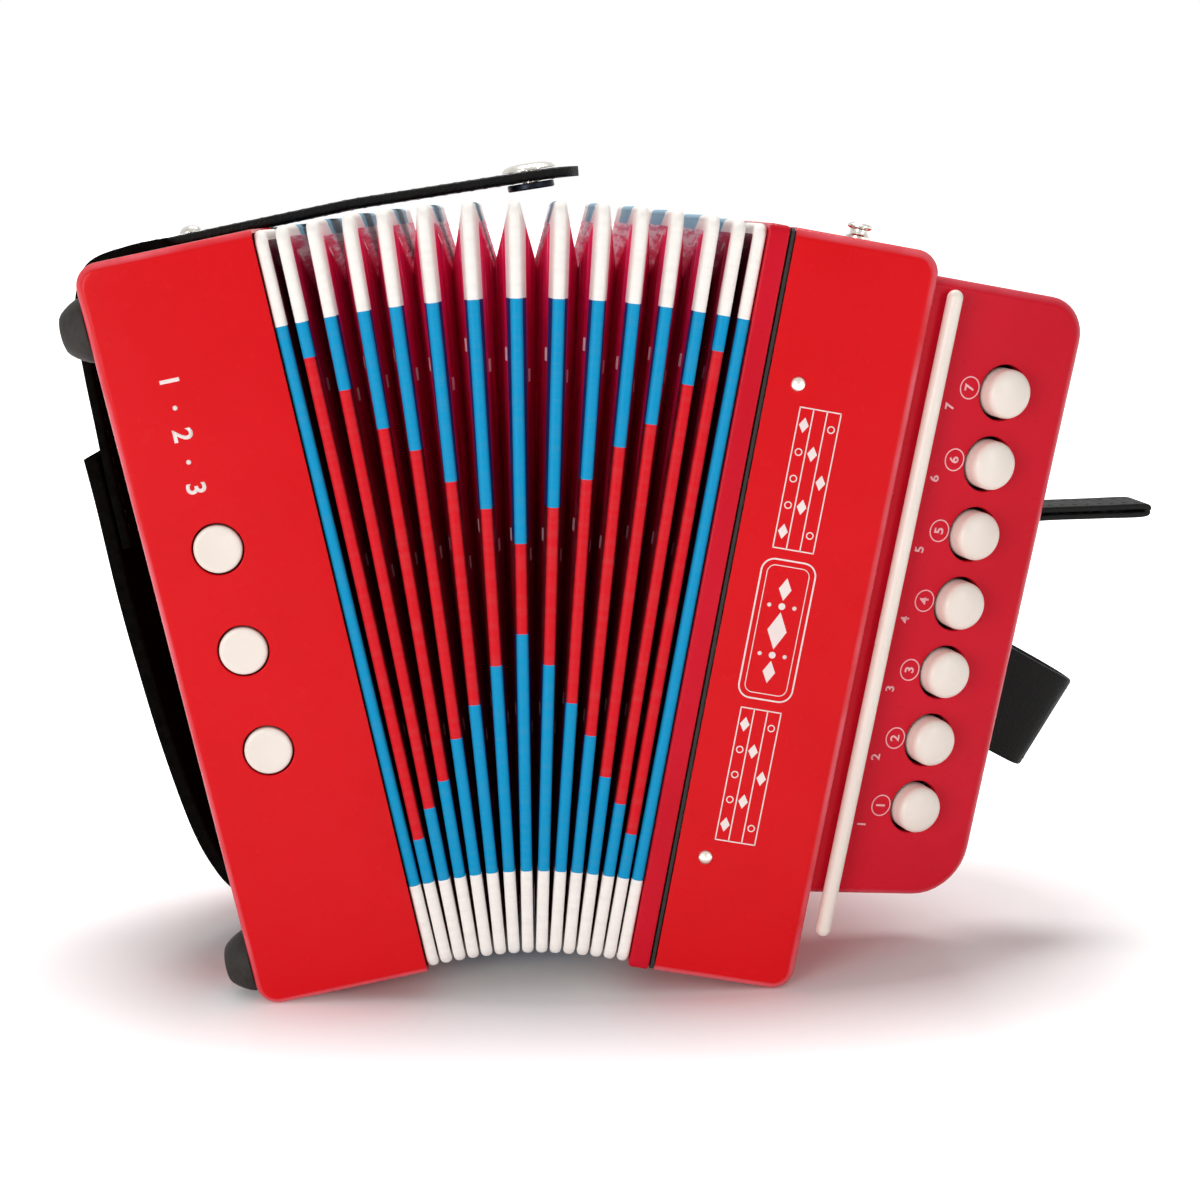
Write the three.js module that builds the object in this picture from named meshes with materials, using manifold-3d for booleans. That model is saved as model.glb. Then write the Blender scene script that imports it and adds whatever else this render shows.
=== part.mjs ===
// Toy button accordion, standing on its two outer bottom edges with the bellows fanned open at the top.
// Millimetres, +Z up, the decorated front faces -Y, the melody buttons are on the +X side.
// Each casing has its own frame: x away from the bellows or towards it, y into the depth, z up the casing.

import * as THREE from 'three';
import { mergeVertices } from 'three/addons/utils/BufferGeometryUtils.js';
import Module from 'manifold-3d';

const wasm = await Module();
wasm.setup();

// Casings
const casingHeight = 180;
const casingDepth = 98;
const bassWidth = 41.2;
const trebleWidth = 34;
const casingWall = 2.4;
const casingCorner = 5.5;
const edgeRounding = 2;
const seatGap = 0.3;
const cutOverrun = 3;

// Bellows
const foldCount = 15;
const foldPitch = 3.25;
const fanAngle = THREE.MathUtils.degToRad(21.84);
const fanShares = [0.024, 0.055, 0.072, 0.067, 0.086, 0.1, 0.108, 0.106, 0.096, 0.081, 0.069, 0.073, 0.04, 0.023];
const foldThickness = 2.7;
const foldBand = 6;
const foldNose = 0.9;
const foldInset = 0.6;
const foldCorner = 3.4;
const valleyInset = 15;
const pleatWall = 1.5;

// Bellows frame and gasket on the treble side
const frameThickness = 4.9;
const frameBand = 9;
const frameEdge = 0.5;
const gasketThickness = 0.8;
const gasketBand = 7;
const framePinHead = 3.6;
const framePinShank = 1.8;
const framePinDome = 1.2;
const framePinInset = 6.9;
const framePinHighShare = 0.808;
const framePinLowShare = 0.171;

// Bass buttons on the front face
const bassButtonSize = 11.2;
const bassButtonPitch = 24.5;
const bassButtonCount = 3;
const bassButtonInset = 17;
const bassButtonMiddleShare = 0.4822;
const bassButtonProud = 0.6;
const bassButtonCap = 3.4;
const bassButtonGap = 0.45;
const bassButtonDish = 0.3;
const bassStem = 4;
const bassBoardDepth = 13;
const bassBoardThickness = 2.5;
const bassAirHole = 6.6;
const bassPallet = 9.6;
const bassPalletThickness = 1.8;

// Flat return springs
const springThickness = 0.5;
const springFingerWidth = 4;
const springFootWidth = 6;
const springFootThickness = 2.6;
const springMargin = 4;

// Fingerboard with the melody buttons
const keyCount = 7;
const keyPitchShare = 0.095722;
const keyMiddleShare = 0.551111;
const keyPitch = casingHeight * keyPitchShare;
const keyMiddle = casingHeight * keyMiddleShare;
const keyAcross = 25;
const fingerboardAngle = THREE.MathUtils.degToRad(21.8);
const fingerboardFront = 4.7;
const fingerboardWidth = 44.4;
const fingerboardBottomShare = 0.133333;
const fingerboardTopShare = 0.972222;
const fingerboardBottom = casingHeight * fingerboardBottomShare;
const fingerboardTop = casingHeight * fingerboardTopShare;
const fingerboardBack = 40.3;
const fingerboardTaper = 4;
const fingerboardWall = 2.4;
const fingerboardCornerTop = 7.5;
const fingerboardCornerBottom = 11;
const fingerboardBackRounding = 4;
const keyCap = 11.7;
const keyCapProud = 4.6;
const keyCapDome = 1.7;
const keyHoleGap = 0.85;
const keyCapSunk = 2.2;
const keyStem = 6;

// Levers under the melody buttons
const axleSize = 2;
const axleFit = 0.3;
const axleAcross = 4.8;
const axleSunk = 6.5;
const leverHub = 4.8;
const leverWidth = 6;
const leverThickness = 2.2;
const leverRightArm = 25.2;
const leverLeftArm = 15.8;
const palletSize = 8;
const palletThickness = 1.9;
const leverSlotHeight = 6.4;
const treblePanThickness = 2.5;
const treblePanHole = 5;
const reedBlockDepth = 10;
const reedChamberWall = 2.2;
const axleGrip = 1.2;

// White trim rod beside the fingerboard
const rodSize = 3.9;
const rodBottomShare = 0.079444;
const rodTopShare = 0.958889;
const rodBottom = casingHeight * rodBottomShare;
const rodTop = casingHeight * rodTopShare;
const rodAcross = 4.6;

// Rubber feet on the bass end
const footSize = 15.4;
const footTop = 8.2;
const footHeight = 6.8;
const footSkirt = 1.2;
const footFromSide = 9;
const footHighMargin = 14.4;
const footLowMargin = 9.8;

// Leather straps
const leatherThickness = 2.5;
const bellowsStrapWidth = 22;
const bellowsStrapLength = 91;
const bellowsStrapBend = 61.3;
const bellowsStrapDroop = THREE.MathUtils.degToRad(3);
const bellowsStrapTipDroop = THREE.MathUtils.degToRad(5.5);
const bellowsStrapTip = 22;
const rivetInset = 20.4;
const rivetHead = 5.4;
const rivetDome = 1.6;
const rivetShank = 2.4;
const snapInset = 104.7;
const snapCap = 13.4;
const snapCapDome = 2.2;
const snapSocket = 11.6;
const snapSocketHeight = 1.6;
const snapBore = 7.2;
const snapNeck = 4;
const studSize = 6.4;
const studNeck = 4.6;
const studHeight = 4.4;
const studInset = 22.1;
const handStrapWidth = 26;
const handStrapStandoff = 15.3;
const handScrewHead = 7;
const handScrewDome = 1.6;
const handScrewShank = 2.6;
const handScrewHeight = 8.6;

// Thumb strap and hand loop on the fingerboard
const thumbStrapWidth = 26.5;
const thumbStrapTilt = THREE.MathUtils.degToRad(19.5);
const thumbStrapAcross = 67.8;
const thumbStrapHeightShare = 0.423333;
const thumbStrapHeight = casingHeight * thumbStrapHeightShare;
const thumbStrapReach = 31;
const thumbStrapGap = 8.5;
const thumbStrapTail = 7;
const handLoopWidth = 15;
const handLoopHeightShare = 0.674444;
const handLoopHeight = casingHeight * handLoopHeightShare;
const handLoopReach = 33.853;
const handLoopGap = 0.8;
const handLoopFlange = 7;
const handLoopRise = THREE.MathUtils.degToRad(9.8);
const handLoopBackShare = 0.74;

// Facets
const curveSteps = 3;
const roundSteps = 20;
const smallRoundSteps = 12;

// Materials
const finish = (color, roughness, metalness = 0) => new THREE.MeshStandardMaterial({ color, roughness, metalness });
const redPlastic = finish(0xe0161f, 0.25);
const darkRedPlastic = finish(0xc81e2d, 0.35);
const tapedCard = finish(0xf2efe8, 0.5);
const pleatPaper = finish(0x2a0c14, 0.5);
const whitePlastic = finish(0xf0ebe4, 0.3);
const blackRubber = finish(0x46413c, 0.75);
const blackLeather = finish(0x14140f, 0.6);
const nickel = finish(0xc9c6c0, 0.25, 1);
const darkMetal = finish(0x4a4a4a, 0.35, 1);
const wood = finish(0xb98d5a, 0.7);
const leverPlastic = finish(0x1b1b1b, 0.6);

// Solids
function toSolid(geometry) {
  const bare = geometry.clone();
  bare.deleteAttribute('normal');
  bare.deleteAttribute('uv');
  const merged = mergeVertices(bare, 1e-4);
  const vertProperties = new Float32Array(merged.attributes.position.array);
  const triVerts = new Uint32Array(merged.index.array);
  return new wasm.Manifold(new wasm.Mesh({ numProp: 3, vertProperties, triVerts }));
}

function toGeometry(solid) {
  const mesh = solid.getMesh();
  const geometry = new THREE.BufferGeometry();
  geometry.setAttribute('position', new THREE.BufferAttribute(new Float32Array(mesh.vertProperties), 3));
  geometry.setIndex(new THREE.BufferAttribute(new Uint32Array(mesh.triVerts), 1));
  return geometry;
}

function cut(geometry, ...tools) {
  return toGeometry(tools.reduce((left, tool) => left.subtract(toSolid(tool)), toSolid(geometry)));
}

function join(geometry, ...others) {
  return toGeometry(others.reduce((sum, other) => sum.add(toSolid(other)), toSolid(geometry)));
}

function common(geometry, other) {
  return toGeometry(toSolid(geometry).intersect(toSolid(other)));
}

function block(x0, x1, y0, y1, z0, z1) {
  const box = new THREE.BoxGeometry(x1 - x0, y1 - y0, z1 - z0);
  return box.translate((x0 + x1) / 2, (y0 + y1) / 2, (z0 + z1) / 2);
}

// A flat outline in x and y, raised along z
function raise(shape, z0, z1, bevel = 0) {
  const geometry = new THREE.ExtrudeGeometry(shape, {
    depth: z1 - z0 - 2 * bevel,
    bevelEnabled: bevel > 0,
    bevelThickness: bevel,
    bevelSize: bevel,
    bevelOffset: -bevel,
    bevelSegments: 3,
    curveSegments: curveSteps,
    steps: 1,
  });
  return geometry.translate(0, 0, z0 + bevel);
}

// A flat outline in x and z, run through the depth y
function runThrough(shape, y0, y1, bevel = 0) {
  return raise(shape, -y1, -y0, bevel).rotateX(Math.PI / 2);
}

// A flat outline in y and z, run along x
function runAlong(shape, x0, x1, bevel = 0) {
  const turn = new THREE.Matrix4().set(0, 0, 1, 0, 1, 0, 0, 0, 0, 1, 0, 0, 0, 0, 0, 1);
  return raise(shape, x0, x1, bevel).applyMatrix4(turn);
}

// A turned piece about y whose profile gives radius and place along y
function turned(profile, steps = roundSteps) {
  const points = profile.map(([radius, along]) => new THREE.Vector2(radius, along));
  return new THREE.LatheGeometry(points, steps);
}

function rod(radius, from, to, steps = smallRoundSteps) {
  return turned([[0, from], [radius, from], [radius, to], [0, to]], steps);
}

function roundedRect(width, height, radius) {
  const shape = new THREE.Shape();
  const left = -width / 2;
  const right = width / 2;
  shape.moveTo(left + radius, 0);
  shape.absarc(right - radius, radius, radius, -Math.PI / 2, 0);
  shape.absarc(right - radius, height - radius, radius, 0, Math.PI / 2);
  shape.absarc(left + radius, height - radius, radius, Math.PI / 2, Math.PI);
  shape.absarc(left + radius, radius, radius, Math.PI, 1.5 * Math.PI);
  return shape;
}

// A leather band: a smooth centre line in a plane, given thickness, as a closed outline
function bandOutline(points, thickness, steps) {
  const line = new THREE.SplineCurve(points.map(([x, y]) => new THREE.Vector2(x, y)));
  const left = [];
  const right = [];
  for (let i = 0; i <= steps; i += 1) {
    const at = line.getPoint(i / steps);
    const along = line.getTangent(i / steps);
    const side = new THREE.Vector2(-along.y, along.x).multiplyScalar(thickness / 2);
    left.push(at.clone().add(side));
    right.push(at.clone().sub(side));
  }
  return new THREE.Shape([...left, ...right.reverse()]);
}

// A closed ring of points round a casing's section, at an inset from the outside
function sectionLoop(inset, x, corner) {
  const halfDepth = casingDepth / 2 - foldInset - inset;
  const low = foldInset + inset;
  const high = casingHeight - foldInset - inset;
  const radius = Math.max(corner - inset, corner / 3);
  const loop = [];
  const centres = [
    [halfDepth - radius, high - radius],
    [radius - halfDepth, high - radius],
    [radius - halfDepth, low + radius],
    [halfDepth - radius, low + radius],
  ];
  centres.forEach(([y, z], quarter) => {
    for (let i = 0; i <= 3; i += 1) {
      const angle = (quarter + i / 3) * (Math.PI / 2);
      loop.push(new THREE.Vector3(x, y + radius * Math.cos(angle), z + radius * Math.sin(angle)));
    }
  });
  return loop;
}

// Joins a closed sequence of loops into one ring-shaped skin.
// From the loop numbered `inner` on, the facets are split the other way, so that a thin wall's two faces crease alike.
function ringFromLoops(loops, inner = loops.length) {
  const count = loops[0].length;
  const positions = [];
  loops.forEach((loop) => loop.forEach((p) => positions.push(p.x, p.y, p.z)));
  const index = [];
  loops.forEach((_, i) => {
    const a = i * count;
    const b = ((i + 1) % loops.length) * count;
    for (let j = 0; j < count; j += 1) {
      const k = (j + 1) % count;
      if (i < inner) {
        index.push(a + j, b + k, b + j, a + j, a + k, b + k);
      } else {
        index.push(a + j, a + k, b + j, a + k, b + k, b + j);
      }
    }
  });
  const geometry = new THREE.BufferGeometry();
  geometry.setAttribute('position', new THREE.Float32BufferAttribute(positions, 3));
  geometry.setIndex(index);
  return geometry;
}

const group = new THREE.Group();

function piece(name, geometry, material, parent) {
  const mesh = new THREE.Mesh(geometry, material);
  mesh.name = name;
  parent.add(mesh);
  return mesh;
}

// The fan: bass casing, then a hinge at the bottom of each fold, then the treble casing
const bass = new THREE.Group();
bass.name = 'bass_frame';
group.add(bass);

const foldSlots = [];
function buildFan() {
  let carrier = bass;
  let start = bassWidth;
  for (let i = 0; i < foldCount; i += 1) {
    const slot = new THREE.Group();
    slot.name = `fold_hinge_${String(i + 1).padStart(2, '0')}`;
    slot.position.x = start;
    slot.rotation.y = i === 0 ? 0 : fanAngle * fanShares[i - 1];
    carrier.add(slot);
    foldSlots.push(slot);
    carrier = slot;
    start = foldPitch;
  }
  const treble = new THREE.Group();
  treble.name = 'treble_frame';
  treble.position.x = foldPitch + frameThickness + gasketThickness + 2 * seatGap;
  carrier.add(treble);
  return treble;
}
const treble = buildFan();

// Both casings rest on the round of their outer bottom edge, which sets how far the bass casing leans
function leanOfBass() {
  group.updateMatrixWorld(true);
  const bassRound = new THREE.Vector3(casingCorner, 0, casingCorner);
  const trebleRound = new THREE.Vector3(trebleWidth - casingCorner, 0, casingCorner);
  const span = treble.localToWorld(trebleRound).sub(bass.localToWorld(bassRound));
  return Math.atan2(-span.z, span.x);
}
bass.rotation.y = -leanOfBass();

const front = -casingDepth / 2;
const back = casingDepth / 2;

// Open casing shell, open at x = 0 and rounded at x = width
function casingShell(width) {
  const outline = new THREE.Shape();
  outline.moveTo(-cutOverrun, 0);
  outline.lineTo(width - casingCorner, 0);
  outline.absarc(width - casingCorner, casingCorner, casingCorner, -Math.PI / 2, 0);
  outline.absarc(width - casingCorner, casingHeight - casingCorner, casingCorner, 0, Math.PI / 2);
  outline.lineTo(-cutOverrun, casingHeight);
  const body = runThrough(outline, front, back, edgeRounding);
  const spare = block(-2 * cutOverrun, 0, front - cutOverrun, back + cutOverrun, -cutOverrun, casingHeight + cutOverrun);
  const room = block(
    -2 * cutOverrun,
    width - casingWall,
    front + casingWall,
    back - casingWall,
    casingWall,
    casingHeight - casingWall,
  );
  return cut(body, spare, room);
}

// Bass side
const bassButtonHeights = [];
for (let i = 0; i < bassButtonCount; i += 1) {
  const middle = casingHeight * bassButtonMiddleShare;
  bassButtonHeights.push(middle + bassButtonPitch * ((bassButtonCount - 1) / 2 - i));
}
const bassBoardFront = front + bassBoardDepth;
const bassBoardBack = bassBoardFront + bassBoardThickness;

function bassHousing() {
  const shell = casingShell(bassWidth).rotateZ(Math.PI).translate(bassWidth, 0, 0);
  const hole = bassButtonSize / 2 + bassButtonGap;
  const holes = bassButtonHeights.map((z) => {
    const drill = rod(hole, front - cutOverrun, front + casingWall + cutOverrun, roundSteps);
    return drill.translate(bassButtonInset, 0, z);
  });
  const rivetHole = rod(rivetShank / 2 + seatGap, -casingWall - cutOverrun, cutOverrun).rotateX(Math.PI / 2);
  const screwHole = rod(handScrewShank / 2 + seatGap, -cutOverrun, casingWall + cutOverrun).rotateZ(-Math.PI / 2);
  return cut(
    shell,
    ...holes,
    rivetHole.translate(rivetInset, 0, casingHeight),
    screwHole.translate(0, 0, handScrewHeight),
  );
}
piece('bass_housing', bassHousing(), redPlastic, bass);

function bassReedBoard() {
  const board = block(
    casingWall + seatGap,
    bassWidth - seatGap,
    bassBoardFront,
    bassBoardBack,
    casingWall + seatGap,
    casingHeight - casingWall - seatGap,
  );
  const holes = bassButtonHeights.map((z) => {
    const drill = rod(bassAirHole / 2, bassBoardFront - cutOverrun, bassBoardBack + cutOverrun);
    return drill.translate(bassButtonInset, 0, z);
  });
  return cut(board, ...holes);
}
piece('bass_reed_board', bassReedBoard(), wood, bass);

// Push button with its stem and the pallet that it lifts off the board
const bassPalletFront = bassBoardBack + seatGap;
function bassPlunger() {
  const outer = bassButtonSize / 2;
  const face = front - bassButtonProud;
  return turned([
    [0, face + bassButtonDish],
    [outer * 0.7, face],
    [outer - bassButtonDish, face],
    [outer, face + bassButtonDish],
    [outer, face + bassButtonCap],
    [bassStem / 2, face + bassButtonCap],
    [bassStem / 2, bassPalletFront],
    [bassPallet / 2, bassPalletFront],
    [bassPallet / 2, bassPalletFront + bassPalletThickness],
    [0, bassPalletFront + bassPalletThickness],
  ]);
}
const bassButtonNames = ['air_valve_button', 'bass_button_1', 'bass_button_2'];
bassButtonHeights.forEach((z, i) => {
  const button = piece(bassButtonNames[i], bassPlunger(), whitePlastic, bass);
  button.position.set(bassButtonInset, 0, z);
});

// Comb of flat springs behind the bass pallets
function springComb(fingerHeights, fingerFrom, fingerTo, fingerFace, footFace) {
  const low = Math.min(...fingerHeights) - springMargin;
  const high = Math.max(...fingerHeights) + springMargin;
  const foot = block(fingerTo - springFootWidth, fingerTo, footFace, fingerFace + springThickness, low, high);
  const fingers = fingerHeights.map((z) => block(
    fingerFrom,
    fingerTo - springFootWidth / 2,
    fingerFace,
    fingerFace + springThickness,
    z - springFingerWidth / 2,
    z + springFingerWidth / 2,
  ));
  return join(foot, ...fingers);
}
const bassFingerFace = bassPalletFront + bassPalletThickness + seatGap;
piece(
  'bass_spring_comb',
  springComb(
    bassButtonHeights,
    bassButtonInset - bassStem,
    bassWidth - springMargin,
    bassFingerFace,
    bassBoardBack + seatGap,
  ),
  darkMetal,
  bass,
);

// Rubber feet on the end
function foot() {
  const base = footSize / 2;
  const top = footTop / 2;
  return turned([
    [0, 0],
    [base, 0],
    [base, footSkirt],
    [base - (base - top) / 3, footHeight * 0.62],
    [top, footHeight],
    [0, footHeight],
  ]).rotateZ(Math.PI / 2);
}
const footPlaces = {
  foot_front_high: [front + footFromSide, casingHeight - footHighMargin],
  foot_front_low: [front + footFromSide, footLowMargin],
  foot_back_high: [back - footFromSide, casingHeight - footHighMargin],
  foot_back_low: [back - footFromSide, footLowMargin],
};
Object.entries(footPlaces).forEach(([name, [y, z]]) => {
  piece(name, foot(), blackRubber, bass).position.set(-seatGap, y, z);
});

// Hand strap: an upper strap over the top corner and a lower strap whose end laps over it
const strapTop = casingHeight + seatGap + leatherThickness / 2;
const strapSide = -seatGap - leatherThickness / 2;
const handStrapSteps = 22;
function handStrap(route) {
  const outline = bandOutline(route, leatherThickness, handStrapSteps);
  return runThrough(outline, -handStrapWidth / 2, handStrapWidth / 2);
}
function onHandStrap(standShare, heightShare) {
  return [-handStrapStandoff * standShare, casingHeight * heightShare];
}
const upperStrapEnd = rivetInset - rivetHead / 2 - leatherThickness - seatGap;
const upperStrapShares = [[0.13, 1.0], [0.42, 0.968], [0.56, 0.92], [0.62, 0.86], [0.66, 0.79], [0.7, 0.72]];
const upperStrap = handStrap([
  [upperStrapEnd, strapTop],
  [upperStrapEnd / 2, strapTop],
  ...upperStrapShares.map(([stand, height]) => onHandStrap(stand, height)),
  onHandStrap(0.72, 0.62),
]);
piece('hand_strap_upper', upperStrap, blackLeather, bass);
const lowerStrapShares = [[0.28, 0.1], [0.56, 0.142], [0.78, 0.21], [0.92, 0.33], [0.98, 0.45]];
const lowerStrap = handStrap([
  [strapSide, handScrewHeight - leatherThickness],
  [strapSide, handScrewHeight + leatherThickness],
  ...lowerStrapShares.map(([stand, height]) => onHandStrap(stand, height)),
  onHandStrap(1, 0.56),
  onHandStrap(0.97, 0.68),
  onHandStrap(0.97, 0.75),
]);
const screwBore = rod(handScrewShank / 2 + seatGap, -casingWall - cutOverrun, cutOverrun).rotateZ(-Math.PI / 2);
piece(
  'hand_strap_lower',
  cut(lowerStrap, screwBore.translate(0, 0, handScrewHeight)),
  blackLeather,
  bass,
);

// A domed head on a shank, its seat at y = 0 and its head towards -y
function domedPin(head, dome, shank, length) {
  const reach = head / 2;
  return turned([
    [0, -dome],
    [reach * 0.5, -dome * 0.86],
    [reach * 0.87, -dome * 0.5],
    [reach, 0],
    [shank / 2, 0],
    [shank / 2, length],
    [0, length],
  ], smallRoundSteps);
}
const handScrewLength = leatherThickness + 2 * seatGap + casingWall;
piece(
  'hand_strap_screw',
  domedPin(handScrewHead, handScrewDome, handScrewShank, handScrewLength).rotateZ(-Math.PI / 2),
  nickel,
  bass,
).position.set(strapSide - leatherThickness / 2 - seatGap, 0, handScrewHeight);

// Bellows strap: the riveted end on the casing, then the free length that a hand lifts
const strapHalf = bellowsStrapWidth / 2;
function strapAnchor() {
  const outline = new THREE.Shape();
  const left = upperStrapEnd + leatherThickness / 2 + seatGap;
  outline.moveTo(left, casingHeight + seatGap);
  outline.lineTo(bellowsStrapBend, casingHeight + seatGap);
  outline.lineTo(bellowsStrapBend, casingHeight + seatGap + leatherThickness);
  outline.lineTo(left, casingHeight + seatGap + leatherThickness);
  const bore = rod(rivetShank / 2 + seatGap, -cutOverrun, leatherThickness + cutOverrun).rotateX(Math.PI / 2);
  return cut(
    runThrough(outline, -strapHalf, strapHalf),
    bore.translate(rivetInset, 0, casingHeight + seatGap),
  );
}
piece('bellows_strap_anchor', strapAnchor(), blackLeather, bass);

const rivetLength = leatherThickness + 2 * seatGap + casingWall;
piece(
  'strap_rivet',
  domedPin(rivetHead, rivetDome, rivetShank, rivetLength).rotateX(-Math.PI / 2),
  nickel,
  bass,
).position.set(rivetInset, 0, casingHeight + leatherThickness + 2 * seatGap);

const strapFree = new THREE.Group();
strapFree.name = 'strap_hinge';
strapFree.position.set(bellowsStrapBend + seatGap, 0, casingHeight + seatGap);
strapFree.rotation.y = bellowsStrapDroop;
bass.add(strapFree);

// The free length in plan has a round tip; it is cut from a band that droops a little more at its end
const strapFreeLength = rivetInset + bellowsStrapLength + bellowsStrapTip / 4 - bellowsStrapBend;
const snapAlong = snapInset - bellowsStrapBend;
function strapFreeBand() {
  const kink = strapFreeLength - bellowsStrapTip / 2;
  const tipDrop = (bellowsStrapTip / 2) * Math.tan(bellowsStrapTipDroop - bellowsStrapDroop);
  const side = new THREE.Shape();
  side.moveTo(0, 0);
  side.lineTo(kink, 0);
  side.lineTo(strapFreeLength, -tipDrop);
  side.lineTo(strapFreeLength, leatherThickness - tipDrop);
  side.lineTo(kink, leatherThickness);
  side.lineTo(0, leatherThickness);
  const plan = new THREE.Shape();
  plan.moveTo(0, -strapHalf);
  plan.lineTo(kink, -strapHalf);
  plan.absellipse(kink, 0, bellowsStrapTip / 2, strapHalf, -Math.PI / 2, Math.PI / 2);
  plan.lineTo(0, strapHalf);
  const band = common(runThrough(side, -strapHalf, strapHalf), raise(plan, -cutOverrun, leatherThickness + cutOverrun));
  const bore = rod(snapNeck / 2 + seatGap, -cutOverrun, leatherThickness + cutOverrun).rotateX(Math.PI / 2);
  return cut(band, bore.translate(snapAlong, 0, 0));
}
piece('bellows_strap', strapFreeBand(), blackLeather, strapFree);

// Snap cap above the strap, its neck through the leather and its socket ring below
function snapFastener() {
  const cap = snapCap / 2;
  const ring = snapSocket / 2;
  const above = leatherThickness + seatGap;
  const below = -seatGap;
  return turned([
    [0, above + snapCapDome],
    [cap * 0.5, above + snapCapDome * 0.85],
    [cap * 0.87, above + snapCapDome * 0.45],
    [cap, above],
    [snapNeck / 2, above],
    [snapNeck / 2, below],
    [ring, below],
    [ring, below - snapSocketHeight],
    [snapBore / 2, below - snapSocketHeight],
    [snapBore / 2, below - snapSocketHeight / 3],
    [0, below - snapSocketHeight / 3],
  ].reverse()).rotateX(Math.PI / 2);
}
piece('snap_cap', snapFastener(), nickel, strapFree).position.x = snapAlong;

// Bellows folds: a round-nosed card frame in each slot of the fan
function foldFrame() {
  const middle = foldPitch / 2;
  const half = foldThickness / 2;
  const profile = [
    [foldBand, middle - half],
    [foldNose, middle - half],
    [0, middle - half / 2],
    [0, middle + half / 2],
    [foldNose, middle + half],
    [foldBand, middle + half],
  ];
  return ringFromLoops(profile.map(([inset, x]) => sectionLoop(inset, x, foldCorner)));
}
foldSlots.forEach((slot, i) => {
  piece(`bellows_fold_${String(i + 1).padStart(2, '0')}`, foldFrame(), tapedCard, slot);
});

// Pleated web inside the folds: out to each fold and in to each valley, from end to end
function pleatedWeb() {
  group.updateMatrixWorld(true);
  const toBass = bass.matrixWorld.clone().invert();
  const stations = [];
  foldSlots.forEach((slot, i) => {
    const place = toBass.clone().multiply(slot.matrixWorld);
    if (i > 0) {
      const halfTurn = new THREE.Matrix4().makeRotationY((-fanAngle * fanShares[i - 1]) / 2);
      stations.push({ place: place.clone().multiply(halfTurn), inset: valleyInset, x: 0 });
    }
    stations.push({ place, inset: foldBand + seatGap, x: foldPitch / 2 });
  });
  const loopAt = ({ place, inset, x }, extra) => sectionLoop(inset + extra, x, foldCorner).map((p) => p.applyMatrix4(place));
  const outer = stations.map((station) => loopAt(station, 0));
  const inner = stations.map((station) => loopAt(station, pleatWall)).reverse();
  return ringFromLoops([...outer, ...inner], outer.length);
}
piece('bellows_web', pleatedWeb(), pleatPaper, bass);

// Bellows frame and its gasket against the treble casing
function flatRing(width, height, band, corner, x0, x1, bevel) {
  const outline = roundedRect(width, height, corner);
  const opening = roundedRect(width - 2 * band, height - 2 * band, corner);
  const room = runAlong(opening, x0 - cutOverrun, x1 + cutOverrun).translate(0, 0, band);
  return cut(runAlong(outline, x0, x1, bevel), room);
}
const gasketLeft = -seatGap - gasketThickness;
const frameLeft = gasketLeft - seatGap - frameThickness;
piece(
  'bellows_frame',
  flatRing(casingDepth, casingHeight, frameBand, edgeRounding, frameLeft, frameLeft + frameThickness, frameEdge),
  redPlastic,
  treble,
);
const gasketLess = 2 * seatGap;
piece(
  'frame_gasket',
  flatRing(
    casingDepth - gasketLess,
    casingHeight - gasketLess,
    gasketBand,
    edgeRounding,
    gasketLeft,
    gasketLeft + gasketThickness,
    0,
  ).translate(0, 0, seatGap),
  blackRubber,
  treble,
);

// Treble side
const keyHeights = [];
for (let i = 0; i < keyCount; i += 1) {
  keyHeights.push(keyMiddle + keyPitch * ((keyCount - 1) / 2 - i));
}
const boardSide = trebleWidth + seatGap;
const boardFront = front + fingerboardFront;
const boardCos = Math.cos(fingerboardAngle);
const boardSin = Math.sin(fingerboardAngle);

// A place on the fingerboard: across its face from the casing, and sunk below the face
function onBoard(across, sunk) {
  return [
    boardSide + across * boardCos - sunk * boardSin,
    boardFront + across * boardSin + sunk * boardCos,
  ];
}
const [axleX, axleY] = onBoard(axleAcross, axleSunk);

function trebleHousing() {
  const shell = casingShell(trebleWidth);
  const slot = block(
    trebleWidth - casingWall - cutOverrun,
    trebleWidth + cutOverrun,
    axleY - leverSlotHeight / 2,
    axleY + leverSlotHeight / 2,
    keyHeights[keyCount - 1] - leverWidth,
    keyHeights[0] + leverWidth,
  );
  const studHole = rod(studNeck / 4 + seatGap, -casingWall - cutOverrun, cutOverrun).rotateX(Math.PI / 2);
  const pinHoles = [framePinHighShare, framePinLowShare].map((share) => {
    const drill = rod(framePinShank / 2 + seatGap, front - cutOverrun, front + casingWall + cutOverrun);
    return drill.translate(framePinInset, 0, casingHeight * share);
  });
  return cut(shell, slot, studHole.translate(studInset, 0, casingHeight), ...pinHoles);
}
piece('treble_housing', trebleHousing(), redPlastic, treble);

const pinNames = { frame_pin_high: framePinHighShare, frame_pin_low: framePinLowShare };
Object.entries(pinNames).forEach(([name, share]) => {
  const pin = domedPin(framePinHead, framePinDome, framePinShank, casingWall + seatGap);
  piece(name, pin, nickel, treble).position.set(framePinInset, front - seatGap, casingHeight * share);
});

// Snap stud on top of the treble casing
function snapStud() {
  return turned([
    [0, -casingWall],
    [studNeck / 4, -casingWall],
    [studNeck / 4, seatGap],
    [studSize / 2, seatGap],
    [studSize / 2, seatGap * 4],
    [studNeck / 2, studHeight / 2],
    [studNeck / 2, studHeight * 0.62],
    [studSize / 2, studHeight * 0.75],
    [studSize / 2, studHeight * 0.92],
    [studSize * 0.4, studHeight],
    [0, studHeight],
  ], smallRoundSteps).rotateX(Math.PI / 2);
}
piece('snap_stud', snapStud(), nickel, treble).position.set(studInset, 0, casingHeight);

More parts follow.
